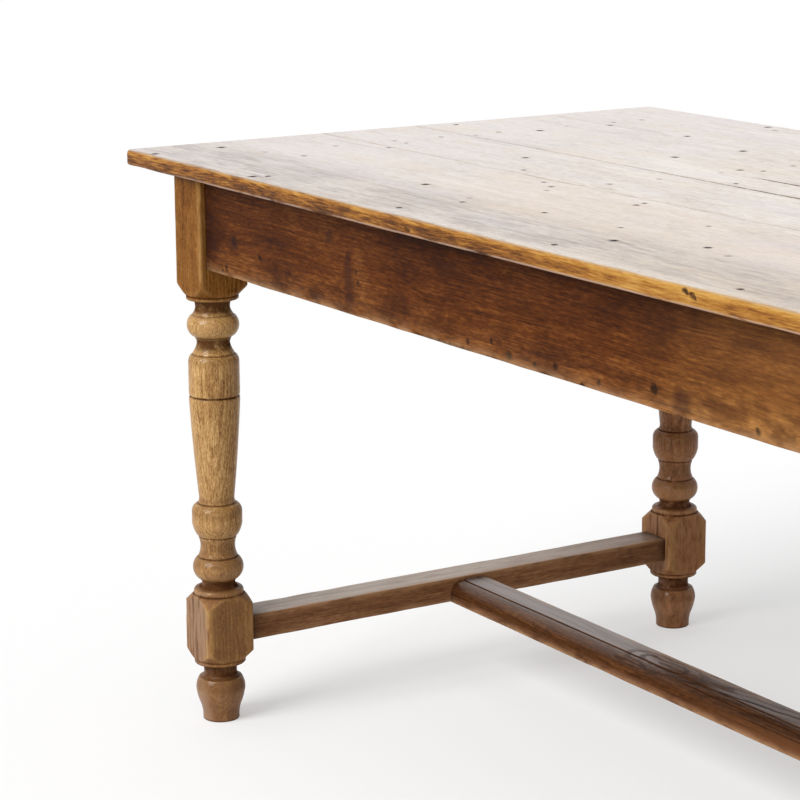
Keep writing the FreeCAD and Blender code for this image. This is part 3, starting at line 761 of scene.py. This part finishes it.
# outline swept through its bows: along a chord each point goes sin(f) / sin(a) of the half chord from its
# middle and stands (cos(f) - cos(a)) / (1 - cos(a)) of the bow's height off it, for f from -a to a
def sweptOutline(rows, step):
    rows = np.asarray(rows, float) * (mm, mm, 1)
    pieces = []
    for (r0, z0, bow), (r1, z1, _) in zip(rows, rows[1:]):
        pace = step if min(r0, r1) < legs["blockRadius"] else legs["blockStep"]
        share = np.linspace(0, 1, max(1, math.ceil(np.hypot(r1 - r0, z1 - z0) / pace)) + 1)[:-1]
        lift = 0.0
        if bow:
            half = 2 * math.atan(2 * abs(bow))
            angle = half * (2 * share - 1)
            share = (1 + np.sin(angle) / math.sin(half)) / 2
            lift = bow * (np.cos(angle) - math.cos(half)) / (1 - math.cos(half))
        pieces.append(np.stack([r0 + (r1 - r0) * share + (z1 - z0) * lift,
                                z0 + (z1 - z0) * share - (r1 - r0) * lift], 1))
    return np.concatenate(pieces + [rows[-1:, :2]])


# distance from the axis to a square's side, its corners rounded by the arris
def squareReach(angle, half, arris):
    a = np.abs(np.cos(angle))
    b = np.abs(np.sin(angle))
    major, minor = np.maximum(a, b), np.minimum(a, b)
    centre = half - arris
    toCentre = (major + minor) * centre
    onArc = toCentre + np.sqrt(np.maximum(toCentre ** 2 - 2 * centre ** 2 + arris ** 2, 0))
    return np.where(minor / major * half <= centre, half / major, onArc)


# weights that blur along the profile: e^-(distance / width)^2, made to add up to 1
def blurWeights(walked, width):
    weight = np.exp(-((walked[:, None] - walked[None, :]) / width) ** 2)
    return weight / weight.sum(1, keepdims=True)


# leg surface: the lesser of the lathe's radius a and the square's reach b, softened as
# -s log(e^(-a/s) + e^(-b/s)), less chips on the corners and a slow drift; wear where it stands proud of its
# blur, dirt and painted shade where it lies below, and in the necks
def makeLegs():
    profile = sweptOutline(legs["outline"], legs["step"])
    height = profile[:, 1:]
    cutPlace, cutDepth, cutHalf = (np.array(legs["cuts"]) * mm).T
    lathe = profile[:, 0] - (cutDepth * np.exp(-((height - cutPlace) / cutHalf) ** 2)).sum(1)
    neckPlace, neckReach, neckDirtAndShade = np.array(legs["necks"]).T
    inNeck = (neckDirtAndShade * np.exp(-((height / mm - neckPlace) / neckReach) ** 4)).sum(1)[:, None]
    walked = np.concatenate([[0], np.cumsum(np.hypot(*np.diff(profile, axis=0).T))])
    fineBlur, broadBlur = blurWeights(walked, legs["fineBlur"]), blurWeights(walked, legs["broadBlur"])
    share = np.linspace(-1, 1, legs["columns"] + 1)[:-1]
    share = (1 - legs["crowded"]) * share + legs["crowded"] * np.sin(share * math.pi / 2)
    angle = (np.arctan(share)[None, :] + np.arange(4)[:, None] * math.pi / 2).ravel()
    turned = np.repeat(lathe[:, None], len(angle), 1)
    turn = np.broadcast_to(angle, turned.shape)
    up = np.broadcast_to(height, turned.shape)
    where = np.stack([np.cos(turn) * legs["noiseRadius"], np.sin(turn) * legs["noiseRadius"], up], -1)
    lowPart = height < legs["lowPart"]
    for seed, (node, (pith, tone, lowColour, kicks)) in enumerate(legs["trees"].items()):
        low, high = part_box(node)
        centre = (low + high) / 2
        half = (high.x - low.x) / 2
        kicked = legs["kickBase"] + lumps(where, legs["kickSize"], seed + legs["kickSeed"])
        kicked = np.clip(kicked, 0, 1) * lowPart * kicks
        square = squareReach(turn, half, legs["arris"] + (legs["lowArris"] - legs["arris"]) * kicked)
        soften = legs["soften"]
        reach = -soften * np.logaddexp(-square / soften, -turned / soften)
        band = np.where(lowPart, legs["lowBand"], legs["highBand"])
        fromCorner = np.abs(np.cos(2 * turn)) * half * legs["bandShare"]
        corner = np.exp(-(fromCorner / band) ** 2) * (turned > square)
        chips = np.clip(lumps(where, legs["chipSize"], seed) * legs["chipGain"] - legs["chipCut"], 0, 1)
        chips = chips * corner * legs["chip"] * np.where(lowPart, 1, legs["highChipShare"])
        drift = legs["drift"] * swell(where, legs["driftSize"], seed + legs["driftSeed"])
        reach = reach - chips - drift * ramp(height, 0, legs["driftOver"])
        rings = np.stack([centre.x + reach * np.cos(turn), centre.y + reach * np.sin(turn), up], -1)
        # painted shade: hollows and necks darkened as shade, together with their dirt
        grimeAndShade = np.clip((fineBlur @ reach - reach) / legs["fineHollow"], 0, 1) + inNeck
        grimeAndShade = grimeAndShade + np.clip((broadBlur @ reach - reach) / legs["broadHollow"], 0, legs["broadMost"])
        wear = np.clip((reach - broadBlur @ reach) / legs["proud"], 0, 1) + corner
        look = {**legWood, "pith": (pith[0] - centre.x, pith[1] - centre.y, pith[2])}
        look["shades"] = [(stop, np.multiply(tone, colour).tolist()) for stop, colour in legWood["shades"]]
        material = oldWood("wood_" + node, look, [lambda made: legAge(made, lowColour, kicks)])
        addPiece("turned_" + node, rings, {"wear": wear, "grimeAndShade": grimeAndShade}, material, node)


makeLegs()

# aprons, stretchers and bearers: a section carried between its shoulders, drawn in to a tenon at each end
# where it has one
rails = {
    "spacing": 4 * mm, "step": 6 * mm, "ripple": 0.2 * mm, "rippleSize": 60 * mm,
    "wearSize": 35 * mm, "wearBase": 0.25, "wearSeed": 3, "grimeAndShadeShare": 0.9, "grimeAndShadeReach": 14 * mm,
}


# rail surface: the section pushed in along its normals by ripples all over and by wear near its arrises
# dirt and painted shade fall as e^(-distance / reach) from the shoulders
def rail(rows, shoulders, reach, tenon, axes, wear, seed, grimeAndShadeReach=rails["grimeAndShadeReach"]):
    section, normals, nearness = roundedOutline(rows, rails["spacing"])
    stations = evenly(*shoulders, rails["step"])
    rings = carry(section, stations, axes)
    sunk = rails["ripple"] * swell(rings, rails["rippleSize"], seed)
    rubbed = np.broadcast_to(np.clip(nearness, 0, 1), rings.shape[:2])
    uneven = np.clip(rails["wearBase"] + lumps(rings, rails["wearSize"], seed + rails["wearSeed"]), 0, 1)
    sunk = sunk + rubbed * wear * uneven
    rings[..., axes[1]] -= normals[None, :, 0] * sunk
    rings[..., axes[2]] -= normals[None, :, 1] * sunk
    fromEnd = np.minimum(stations - shoulders[0], shoulders[1] - stations)[:, None]
    # painted shade: darker towards the shoulders, in the joints, together with dirt
    grimeAndShade = rails["grimeAndShadeShare"] * np.exp(-fromEnd / grimeAndShadeReach) + np.clip(-nearness, 0, 1)[None, :]
    if tenon:
        drawnIn = np.clip(section, (tenon[0], tenon[2]), (tenon[1], tenon[3]))
        before = carry(drawnIn, np.array([reach[0], shoulders[0]]), axes)
        after = carry(drawnIn, np.array([shoulders[1], reach[1]]), axes)
        rings = np.concatenate([before, rings, after])
        pad = np.zeros((2, len(section)))
        grimeAndShade = np.concatenate([pad, grimeAndShade, pad])
        rubbed = np.concatenate([pad, rubbed, pad])
    return rings, {"wear": rubbed, "grimeAndShade": grimeAndShade}


# corner rows of a plain rectangle, its lower and its upper corners each with a radius
def plainRows(near, far, bottom, top, lowArris, highArris):
    return [(near, bottom, lowArris), (far, bottom, lowArris), (far, top, highArris), (near, top, highArris)]


# where a piece's pith lies: the first piece's place, moved by one step for each piece after it
def pithPlace(start, step, number):
    return (np.array(start) + number * np.array(step)).tolist()


apronWood = {
    "grain": "X", "swayScale": 9.0, "sway": 0.02, "ringWidth": 5 * mm, "ringWaver": 2.5, "ringShare": 0.04,
    "fibre": (640.0, 0.02, 0.75), "streak": (150.0, 0.05, 0.4), "mottle": (42.0, 0.4, 0.4),
    "patch": (13.0, 0.4, 0.6), "fleck": (360.0, 0.22, 0.6), "pore": (600.0, 0.08, 0.4),
    "shades": [(0.2, (0.028, 0.008, 0.0035)), (0.42, (0.067, 0.019, 0.005)), (0.58, (0.106, 0.031, 0.0075)),
               (0.8, (0.18, 0.062, 0.0145))],
    "poreCut": (0.58, 0.7), "poreColour": (0.03, 0.012, 0.006), "wearShare": 0.75,
    "wearColour": (0.36, 0.2, 0.1), "grimeAndShadeShare": 0.85, "grimeAndShadeColour": (0.02, 0.009, 0.006),
    "rough": (0.42, 0.6), "coat": 0.0, "coatRough": 0.3, "shine": 0.02, "bump": 0.3,
}
apronStains = {
    "split": (48.0, 0.012),
    "layers": {                      # share, colour and masks
        "rightPale": (1.0, (2.2, 2.9, 3.0), [("X", -0.05, 0.3)], "MULTIPLY"),
        "rightBrown": (0.45, (0.19, 0.072, 0.019), [("X", -0.05, 0.3)]),
        "lowOrange": (1.0, (1.65, 1.95, 2.15), [("Z", 0.672, 0.626), ("mottle", 0.38, 0.6, 0.35, 1.0)],
                      "MULTIPLY"),
        # painted shadow of the boards' overhang: darker towards the upper edge
        "overhangShade": (1.0, (0.74, 0.75, 0.88), [("Z", 0.65, 0.73)], "MULTIPLY"),
        "splits": (0.4, (0.02, 0.008, 0.005), [("split",)]),
        "clouds": (0.35, (0.035, 0.012, 0.007), [("patch", 0.52, 0.36), ("mottle", 0.6, 0.4)]),
    },
}
apronSpots = {
    "axes": (0, 2),
    "layers": {                # share, colour, mode, how it is pressed, and places: along, up and size, in mm
        "holes": (0.85, (0.012, 0.007, 0.005), "MIX", (1, 0, 1), [
            (-844, 668, 9), (-866, 632, 5), (-877, 626, 5), (-777, 657, 6), (-544, 674, 4), (-540, 662, 4),
            (-306, 632, 5), (-260, 640, 5), (-225, 630, 8), (-177, 629, 5), (-139, 634, 6), (-61, 631, 5),
            (-91, 623, 5), (32, 641, 9), (194, 630, 6)]),
        "crack": (0.9, (0.012, 0.007, 0.005), "MIX", (0.035, 0, 1), [(-358, 623, 3)]),
        "halo": (0.5, (1.7, 2.0, 2.2), "MULTIPLY", (1, 0, 1), [(-536, 662, 26), (-540, 690, 18)]),
        "bruises": (0.6, (0.03, 0.011, 0.009), "MIX", (1, 0, 1), [
            (-562, 690, 10), (-563, 674, 15), (-562, 656, 17), (-560, 640, 15), (76, 634, 22),
            (-606, 708, 12), (-846, 668, 16), (-905, 690, 14), (-905, 660, 16)]),
    },
}
aprons = {
    "names": ["apron_front", "apron_back", "apron_left", "apron_right"], "marked": "apron_front",
    "arris": 1.6 * mm, "wear": 0.5 * mm, "grimeAndShadeReach": 24 * mm,
    "tenonHalf": 4.5 * mm, "tenonBelow": 15 * mm, "tenonAbove": 25 * mm,
    "pith": (0.62, 0.35, 0), "pithStep": (0.1, -0.05, 3),
}


# aprons: paler to the right, orange where hands and knees rub the lower part, darker towards the top as
# painted shadow of the boards' overhang, dark clouds and fine splits
def apronAge(made):
    made["split"] = hairlines(made, *apronStains["split"])
    stainAll(made, apronStains["layers"])


# holes, a crack, a rubbed halo and bruises on the front apron, one kind over another
def apronMarks(made):
    for share, colour, mode, flat, places in apronSpots["layers"].values():
        made["spot"] = spots(made, places, apronSpots["axes"], flat)
        stain(made, share, colour, [("spot",)], mode)


# four boards carried along the side that they close, between the legs
def makeAprons():
    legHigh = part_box("leg_front_left")[1]
    for number, name in enumerate(aprons["names"]):
        low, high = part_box(name)
        long = high.x - low.x > high.y - low.y
        axes = (0, 1, 2) if long else (1, 0, 2)
        outer, inner = low[axes[1]], high[axes[1]]
        shoulder = -legHigh[axes[0]]
        rows = plainRows(outer, inner, low.z, high.z, aprons["arris"], 0)
        level = (outer + inner) / 2
        tenon = (level - aprons["tenonHalf"], level + aprons["tenonHalf"],
                 low.z + aprons["tenonBelow"], high.z - aprons["tenonAbove"])
        rings, marks = rail(rows, (-shoulder, shoulder), (low[axes[0]], high[axes[0]]), tenon, axes,
                            aprons["wear"], number, aprons["grimeAndShadeReach"])
        look = {**apronWood, "grain": "X" if long else "Y",
                "pith": pithPlace(aprons["pith"], aprons["pithStep"], number)}
        layers = [apronAge, apronMarks] if name == aprons["marked"] else [apronAge]
        addPiece(name + "_board", rings, marks, oldWood("wood_" + name, look, layers), name)


makeAprons()

# end stretchers
railWood = {
    **apronWood, "grain": "Y", "shine": 0.08,
    "shades": [(0.2, (0.072, 0.027, 0.01)), (0.42, (0.153, 0.063, 0.026)), (0.58, (0.215, 0.094, 0.04)),
               (0.8, (0.33, 0.165, 0.073))],
}
railDustAndSheen = {
    # pale grey on the tops: dust, with a painted sheen of the white surroundings
    "share": 0.95, "colour": (0.47, 0.4, 0.34), "thinner": ("Y", 0.0, 0.33, 1.0, 0.55),
    "masks": [("facingZ", 0.75, 0.97), ("streak", 0.34, 0.62, 0.7, 1.0), ("mottle", 0.36, 0.56, 0.7, 1.0)],
    "coat": ("facingZ", 0.3, 0.9, 0.0, 0.5),
}
endRails = {
    "names": ["end_stretcher_left", "end_stretcher_right"], "arris": 2 * mm, "wear": 0.5 * mm, "seed": 20,
    "tenonHalf": 7 * mm, "tenonStep": 5 * mm, "pith": (1.02, 0.05, 0), "pithStep": (-1.9, 0, 3),
}


# dust and a painted sheen on whatever faces up, thinner where it has been rubbed and to the back, and wax
# with it
def dustAndSheenTop(made):
    stain(made, railDustAndSheen["share"], railDustAndSheen["colour"], railDustAndSheen["masks"] + [railDustAndSheen["thinner"]])
    made["coat"] = masked(made, 1.0, [railDustAndSheen["coat"], railDustAndSheen["thinner"]])


# two rails with all arrises rounded, between the legs at each end
def makeEndRails():
    shoulder = -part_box("leg_front_left")[1].y
    for number, name in enumerate(endRails["names"]):
        low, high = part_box(name)
        rows = plainRows(low.x, high.x, low.z, high.z, endRails["arris"], endRails["arris"])
        level = (low.x + high.x) / 2
        tenon = (level - endRails["tenonHalf"], level + endRails["tenonHalf"],
                 low.z + endRails["tenonStep"], high.z - endRails["tenonStep"])
        rings, marks = rail(rows, (-shoulder, shoulder), (low.y, high.y), tenon, (1, 0, 2),
                            endRails["wear"], number + endRails["seed"])
        look = {**railWood, "pith": pithPlace(endRails["pith"], endRails["pithStep"], number)}
        material = oldWood("wood_" + name, look, [dustAndSheenTop])
        addPiece(name.replace("end_stretcher", "end_rail"), rings, marks, material, name)


makeEndRails()

# bearers under the boards
bearerWood = {
    **apronWood, "grain": "Y", "rough": (0.7, 0.85), "shine": 0.3, "bump": 0.5,
    "shades": [(0.2, (0.2, 0.13, 0.075)), (0.42, (0.34, 0.24, 0.15)), (0.58, (0.45, 0.33, 0.21)),
               (0.8, (0.55, 0.43, 0.29))],
}
bearers = {
    "names": ["left_bearer", "middle_bearer", "right_bearer"],
    "arris": 1.2 * mm, "wear": 0.5 * mm, "seed": 30,
    "pith": (0, -0.5, 0), "pithStep": (0.1, 0, 5),
}


# three beams with their lower arrises rounded, from apron to apron
def makeBearers():
    for number, name in enumerate(bearers["names"]):
        low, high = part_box(name)
        rows = plainRows(low.x, high.x, low.z, high.z, bearers["arris"], 0)
        rings, marks = rail(rows, (low.y, high.y), None, None, (1, 0, 2),
                            bearers["wear"], number + bearers["seed"])
        look = {**bearerWood, "pith": pithPlace(bearers["pith"], bearers["pithStep"], number)}
        addPiece(name + "_beam", rings, marks, oldWood("wood_" + name, look), name)


makeBearers()

# medial stretcher: flat top, quirk and round along the front, worn hollow by feet
footrailWood = {
    **apronWood, "pith": (0.3, 0.16, 4),
    "streak": (150.0, 0.05, 0.25), "mottle": (42.0, 0.4, 0.45), "patch": (13.0, 0.4, 0.45),
    "shades": [(0.2, (0.02, 0.0075, 0.003)), (0.42, (0.048, 0.018, 0.006)), (0.58, (0.076, 0.028, 0.009)),
               (0.8, (0.135, 0.056, 0.018))],
    "shine": 0.015, "coatRough": 0.25,
}
footrailStains = {
    "lowBand": (0.55, (0.17, 0.076, 0.041), [("Z", 0.1215, 0.118), ("mottle", 0.36, 0.56, 0.35, 1.0)]),
    "bare": [(-415, -2, 15), (-370, 6, 9), (120, 4, 16), (540, -4, 20)],             # along, across and size
    "bareAxes": (0, 1), "bareFlat": (0.2, 1, 0), "bareShare": 0.85, "bareUnwaxed": 0.75,
    "kept": [("X", -0.52, -0.4, 1.0, 0.35)],
    # grey-mauve on the flat: dust, with a painted sheen
    "dustAndSheen": (0.6, (0.27, 0.222, 0.21), [("Y", -0.0068, -0.0056), ("facingZ", 0.6, 0.95),
                                        ("streak", 0.34, 0.62, 0.5, 1.0), ("covered",), ("kept",)]),
    "hairline": (70.0, 0.016), "hairlineMasks": [("X", -0.6, -0.5, 0.15, 0.8)],
    "upward": [("facingZ", 0.3, 0.7)],
    "lines": (1.0, (0.014, 0.007, 0.005), [("line",)]),
    "coat": [("facingZ", 0.3, 0.9, 0.0, 0.85), ("kept", 0.3, 1.0, 0.5, 1.0)],
    "warmFoot": (0.6, (0.16, 0.064, 0.026), [("X", -0.5, -0.1), ("Z", 0.136, 0.122)]),
}
knot = {                              # along, across, half width, pitch of the rings, how drawn out
    "places": [(-472, 1, 30, 10, 0.3), (214, 6, 14, 8, 0.25), (560, 14, 16, 8, 0.3)],
    "noise": (24.0, 3.0, 0.55), "uneven": (16 * mm, 22 * mm, 0), "step": (-0.1, 0.6),
    "coreShare": 0.6, "share": 0.6,
}
slanted = {
    "startX": -0.44, "endX": -0.06, "startY": -0.02, "rise": 0.15,
    "opensOver": 40 * mm, "closesOver": 100 * mm,
    "noise": (32.0, 2.0, 0.5), "wander": 10 * mm, "core": 0.9 * mm, "half": 2.4 * mm, "share": 0.9,
    "grainPitch": 13 * mm, "grainStep": (0.1, 0.9), "grainShare": 0.4,
}


# growth rings round a knot: dark where the sine of the distance is high, long along the grain, fading out
def knotRings(made, x, y, half, pitch, drawn):
    tree = made["tree"]
    centred = stretched(tree, made["where"], (drawn, 1, 0), (-drawn * x * mm, -y * mm, 0))
    uneven = shaken(tree, centred, made["where"], knot["noise"], knot["uneven"])
    reach = distance(tree, uneven, [middle * part for part in knot["uneven"]])
    wave = figure(tree, "SINE", times(tree, reach, 2 * math.pi / (pitch * mm)))
    inside = spread(tree, reach, knot["coreShare"] * half * mm, half * mm, 1.0, 0.0)
    return times(tree, spread(tree, wave, *knot["step"]), inside)


# a split on a slant: dark near y = startY + rise * (x - startX), which noise makes wander, with grain lines
# beside it where the cosine of the distance across is high
def slantedSplit(made):
    tree = made["tree"]
    offset = slanted["startY"] - slanted["startX"] * slanted["rise"]
    line = figure(tree, "ADD", times(tree, made["X"], slanted["rise"]), offset)
    wander = offMiddle(tree, cloud(tree, made["where"], *slanted["noise"]), slanted["wander"])
    across = figure(tree, "SUBTRACT", figure(tree, "ADD", line, wander), made["Y"])
    wave = figure(tree, "COSINE", times(tree, across, 2 * math.pi / slanted["grainPitch"]))
    grain = times(tree, spread(tree, wave, *slanted["grainStep"]), slanted["grainShare"])
    split = spread(tree, figure(tree, "ABSOLUTE", across), slanted["core"], slanted["half"], 1.0, 0.0)
    dark = times(tree, figure(tree, "MAXIMUM", split, grain), slanted["share"])
    return masked(made, dark, [("X", slanted["startX"], slanted["startX"] + slanted["opensOver"]),
                               ("X", slanted["endX"], slanted["endX"] - slanted["closesOver"])])


# a lighter band along the foot of the front, where the dark wax has gone
def lowBand(made):
    stain(made, *footrailStains["lowBand"])


# grey-mauve dust with a painted sheen on the flat behind the quirk, except where it is bare; the darkest of
# hairlines, knots and the slanted split over it, wax on what faces up, and a warmer foot to the right
def flatTop(made):
    tree = made["tree"]
    bare = spots(made, footrailStains["bare"], footrailStains["bareAxes"], footrailStains["bareFlat"])
    made["covered"] = rest(tree, times(tree, bare, footrailStains["bareShare"]))
    made["kept"] = masked(made, 1.0, footrailStains["kept"])
    stain(made, *footrailStains["dustAndSheen"])
    dark = masked(made, hairlines(made, *footrailStains["hairline"]), footrailStains["hairlineMasks"])
    for place in knot["places"]:
        dark = figure(tree, "MAXIMUM", dark, times(tree, knotRings(made, *place), knot["share"]))
    dark = figure(tree, "MAXIMUM", dark, slantedSplit(made))
    made["line"] = masked(made, dark, footrailStains["upward"])
    stain(made, *footrailStains["lines"])
    unwaxed = figure(tree, "MAXIMUM", made["line"], times(tree, bare, footrailStains["bareUnwaxed"]))
    made["coat"] = masked(made, rest(tree, unwaxed), footrailStains["coat"])
    stain(made, *footrailStains["warmFoot"])


footrail = {
    "roundSteps": 24, "side": 9 * mm, "roundWide": 18 * mm, "quirkWide": 4.2 * mm, "quirkDeep": 4.5 * mm,
    "quirkBack": 0.5 * mm, "quirkFront": 0.4 * mm, "arris": 2 * mm, "wear": 0.35 * mm, "seed": 41,
    "tenonHalf": 18 * mm, "tenonLow": 8 * mm, "tenonHigh": 22 * mm, "tenonRows": 2, "sampleRow": 5,
    "dent": (-518, 60, 20, 7, 0.9),                      # along, half length, across, half width, depth
    "cracks": [(-472, 8, 1.8), (-330, 15, 1.5), (-60, 5, 1.6)],    # start along, step of the round, depth
    "crackOver": 80 * mm, "crackSlant": 0.6, "crackBase": 0.7,
    "crackRough": 0.3, "crackSize": 30 * mm, "crackSeed": 8,
}


# rail with a quarter ellipse along its front; a dent sinks it by depth * e^-(u^4 + v^2), and cracks open to
# the right, each along one line of the round
def makeFootrail():
    low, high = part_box("medial_stretcher")
    shoulder = -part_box("end_stretcher_left")[1].x
    front, back, bottom, top = low.y, high.y, low.z, high.z
    wide, tall = footrail["roundWide"], top - bottom - footrail["side"]
    quirk = front + wide
    arris, quarter = footrail["arris"], math.pi / 2
    sweep = np.linspace(0, quarter, footrail["roundSteps"] + 1)[1:]
    rows = [(front, bottom, arris), (back, bottom, arris), (back, top, arris)]
    # the quirk's crease is marked -1: dark with dirt and painted shade
    rows += [(quirk + footrail["quirkWide"], top, footrail["quirkBack"], 0),
             (quirk + footrail["quirkWide"] / 2, top - footrail["quirkDeep"], 0, -1),
             (quirk, top, footrail["quirkFront"], 0)]
    rows += [(quirk - wide * math.sin(t), top - tall * (1 - math.cos(t)), 0) for t in sweep]
    tenon = (-footrail["tenonHalf"], footrail["tenonHalf"],
             bottom + footrail["tenonLow"], bottom + footrail["tenonHigh"])
    rings, marks = rail(rows, (-shoulder, shoulder), (low.x, high.x), tenon, (0, 1, 2),
                        footrail["wear"], footrail["seed"])
    body = slice(footrail["tenonRows"], -footrail["tenonRows"])
    x, y, z = (rings[body, :, axis] for axis in range(3))              # views, so changes go into the rings
    placeX, longX, placeY, wideY, deep = np.array(footrail["dent"]) * mm
    dent = np.exp(-((x - placeX) / longX) ** 4 - ((y - placeY) / wideY) ** 2)
    z -= deep * dent * (z > bottom + footrail["side"])
    sample = rings[footrail["sampleRow"]]
    for start, step, depth in footrail["cracks"]:
        place = quirk - wide * math.sin(step / footrail["roundSteps"] * quarter)
        column = np.argmin(np.abs(sample[:, 1] - place) + (sample[:, 2] < bottom + footrail["side"]))
        uneven = lumps(rings[body, column], footrail["crackSize"], footrail["crackSeed"])
        opened = ramp(x[:, column], start * mm, footrail["crackOver"])
        opened = opened * (footrail["crackBase"] + footrail["crackRough"] * uneven)
        y[:, column] += footrail["crackSlant"] * depth * mm * opened
        z[:, column] -= footrail["crackSlant"] * depth * mm * opened
        marks["grimeAndShade"][body, column] += opened
    material = oldWood("wood_foot_rail", footrailWood, [lowBand, flatTop])
    addPiece("foot_rail", rings, marks, material, "medial_stretcher")


makeFootrail()

# pegs and nails keep their CAD shape and get their own finish
pegWood = {
    **legWood, "pith": (0.4, 0.3, 0), "coat": 0.0, "shine": 0.01,
    "shades": [(0.2, (0.07, 0.022, 0.005)), (0.5, (0.18, 0.072, 0.016)), (0.8, (0.27, 0.125, 0.033))],
}
nails = {
    "noise": (700.0, 4.0, 0.6), "roughStep": (0.3, 0.7, 0.45, 0.8), "metallic": 0.3,
    "shades": [(0.35, (0.02, 0.017, 0.016)), (0.55, (0.05, 0.032, 0.022)), (0.75, (0.14, 0.06, 0.03))],
    "waxed": ("Y", -0.39, -0.38), "waxShare": 0.85, "waxColour": (0.26, 0.18, 0.125),
}
fasteners = {"pegs": ["apron_pegs", "stretcher_pegs", "medial_pegs"], "nails": ["top_nails"]}


# rusted iron: its colour and roughness follow one noise, with wax over the heads behind the near edge
def nailIron():
    material = bpy.data.materials.new("nail_iron")
    material.use_nodes = True
    tree = material.node_tree
    shader = tree.nodes["Principled BSDF"]
    made = coordinates(tree)
    rust = cloud(tree, made["where"], *nails["noise"])
    made["colour"] = shades(tree, rust, nails["shades"])
    stain(made, nails["waxShare"], nails["waxColour"], [nails["waxed"]])
    finish = {"Base Color": made["colour"], "Coat Weight": masked(made, 1.0, [nails["waxed"]]),
              "Coat Roughness": topWood["coatRough"], "Roughness": spread(tree, rust, *nails["roughStep"]),
              "Metallic": nails["metallic"]}
    for socket, value in finish.items():
        plug(tree, shader.inputs[socket], value)
    return material


# each CAD node of a kind gets that kind's one material
def finishFasteners():
    finishes = {"pegs": oldWood("wood_pegs", pegWood), "nails": nailIron()}
    for kind, names in fasteners.items():
        for name in names:
            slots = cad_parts[name].data.materials
            slots.clear()
            slots.append(finishes[kind])


finishFasteners()
print("pieces dressed")

# floor, light and camera
stage = {
    "floorHalf": 30.0, "floorColour": (0.9, 0.9, 0.9, 1), "floorGlow": 0.42,
    "skyColour": (1, 1, 1, 1), "skyFill": 0.32, "lampDistance": 4.0,
    "lamps": {"key": (3.0, 34.0, (0.12, -0.8, 0.59)), "overhead": (0.75, 60.0, (-0.1, -0.12, 1.0))},
}
camera = {"place": (2.1163, -1.9890, 1.2232), "azimuth": 58.348, "dip": 12.792, "roll": 0.3685,
          "focalPixels": 2691.43, "framePixels": 800, "sensor": 36.0, "farthest": 200}


# 1 for what is seen straight, in a reflection or through glass, and 0 for what lights other surfaces
def seenRays(tree):
    path = tree.nodes.new("ShaderNodeLightPath")
    seen = figure(tree, "MAXIMUM", path.outputs["Is Camera Ray"], path.outputs["Is Glossy Ray"])
    return figure(tree, "MAXIMUM", seen, path.outputs["Is Transmission Ray"])


# one wide square: matte, mixed with a white glow for seen rays only, so that it keeps the shadow
def makeFloor():
    half = stage["floorHalf"]
    mesh = bpy.data.meshes.new("floor")
    corners = [(-half, -half, 0), (half, -half, 0), (half, half, 0), (-half, half, 0)]
    mesh.from_pydata(corners, [], [(0, 1, 2, 3)])
    material = bpy.data.materials.new("pale_floor")
    material.use_nodes = True
    tree = material.node_tree
    tree.nodes.clear()
    matte = tree.nodes.new("ShaderNodeBsdfDiffuse")
    matte.inputs["Color"].default_value = stage["floorColour"]
    glow = tree.nodes.new("ShaderNodeEmission")
    mix = tree.nodes.new("ShaderNodeMixShader")
    plug(tree, mix.inputs["Fac"], times(tree, seenRays(tree), stage["floorGlow"]))
    plug(tree, mix.inputs[1], matte.outputs[0])
    plug(tree, mix.inputs[2], glow.outputs[0])
    out = tree.nodes.new("ShaderNodeOutputMaterial")
    plug(tree, out.inputs["Surface"], mix.outputs[0])
    mesh.materials.append(material)
    floor = bpy.data.objects.new("floor", mesh)
    bpy.context.scene.collection.objects.link(floor)


# white where it is seen, and a low even fill for everything else
def makeSky():
    world = bpy.data.worlds.new("studio")
    bpy.context.scene.world = world
    world.use_nodes = True
    tree = world.node_tree
    ground = tree.nodes["Background"]
    ground.inputs["Color"].default_value = stage["skyColour"]
    above = times(tree, seenRays(tree), 1 - stage["skyFill"])
    plug(tree, ground.inputs["Strength"], figure(tree, "ADD", above, stage["skyFill"]))


# an object whose own axes are three directions, at a place
def placed(name, data, axes, place):
    holder = bpy.data.objects.new(name, data)
    bpy.context.scene.collection.objects.link(holder)
    holder.matrix_world = Matrix(np.vstack([np.column_stack([*axes, place]), (0, 0, 0, 1)]).tolist())
    return holder


# wide soft lamps, far off: strength, spread in degrees and the direction each shines from
def makeLamps():
    for name, (strength, wide, source) in stage["lamps"].items():
        lamp = bpy.data.lights.new(name, "SUN")
        lamp.energy = strength
        lamp.angle = math.radians(wide)
        away = np.array(source) / np.linalg.norm(source)
        side = np.cross((1, 0, 0), away)
        side = side / np.linalg.norm(side)
        placed(name, lamp, (side, np.cross(away, side), away), stage["lampDistance"] * away)


# the camera looks along the azimuth and down by the dip, then rolls about its own line of sight
def makeCamera():
    azimuth, dip, roll = (math.radians(camera[name]) for name in ("azimuth", "dip", "roll"))
    ahead = np.array([-math.sin(azimuth) * math.cos(dip), math.cos(azimuth) * math.cos(dip), -math.sin(dip)])
    level = np.array([math.cos(azimuth), math.sin(azimuth), 0])
    plumb = np.cross(ahead, level)
    right = math.cos(roll) * level + math.sin(roll) * plumb
    down = math.cos(roll) * plumb - math.sin(roll) * level
    lens = bpy.data.cameras.new("camera")
    lens.sensor_width = camera["sensor"]
    lens.lens = camera["focalPixels"] * camera["sensor"] / camera["framePixels"]
    lens.clip_end = camera["farthest"]
    bpy.context.scene.camera = placed("camera", lens, (right, -down, -ahead), camera["place"])


makeFloor()
makeSky()
makeLamps()
makeCamera()
bpy.context.scene.view_settings.view_transform = "Standard"
print("stage set")
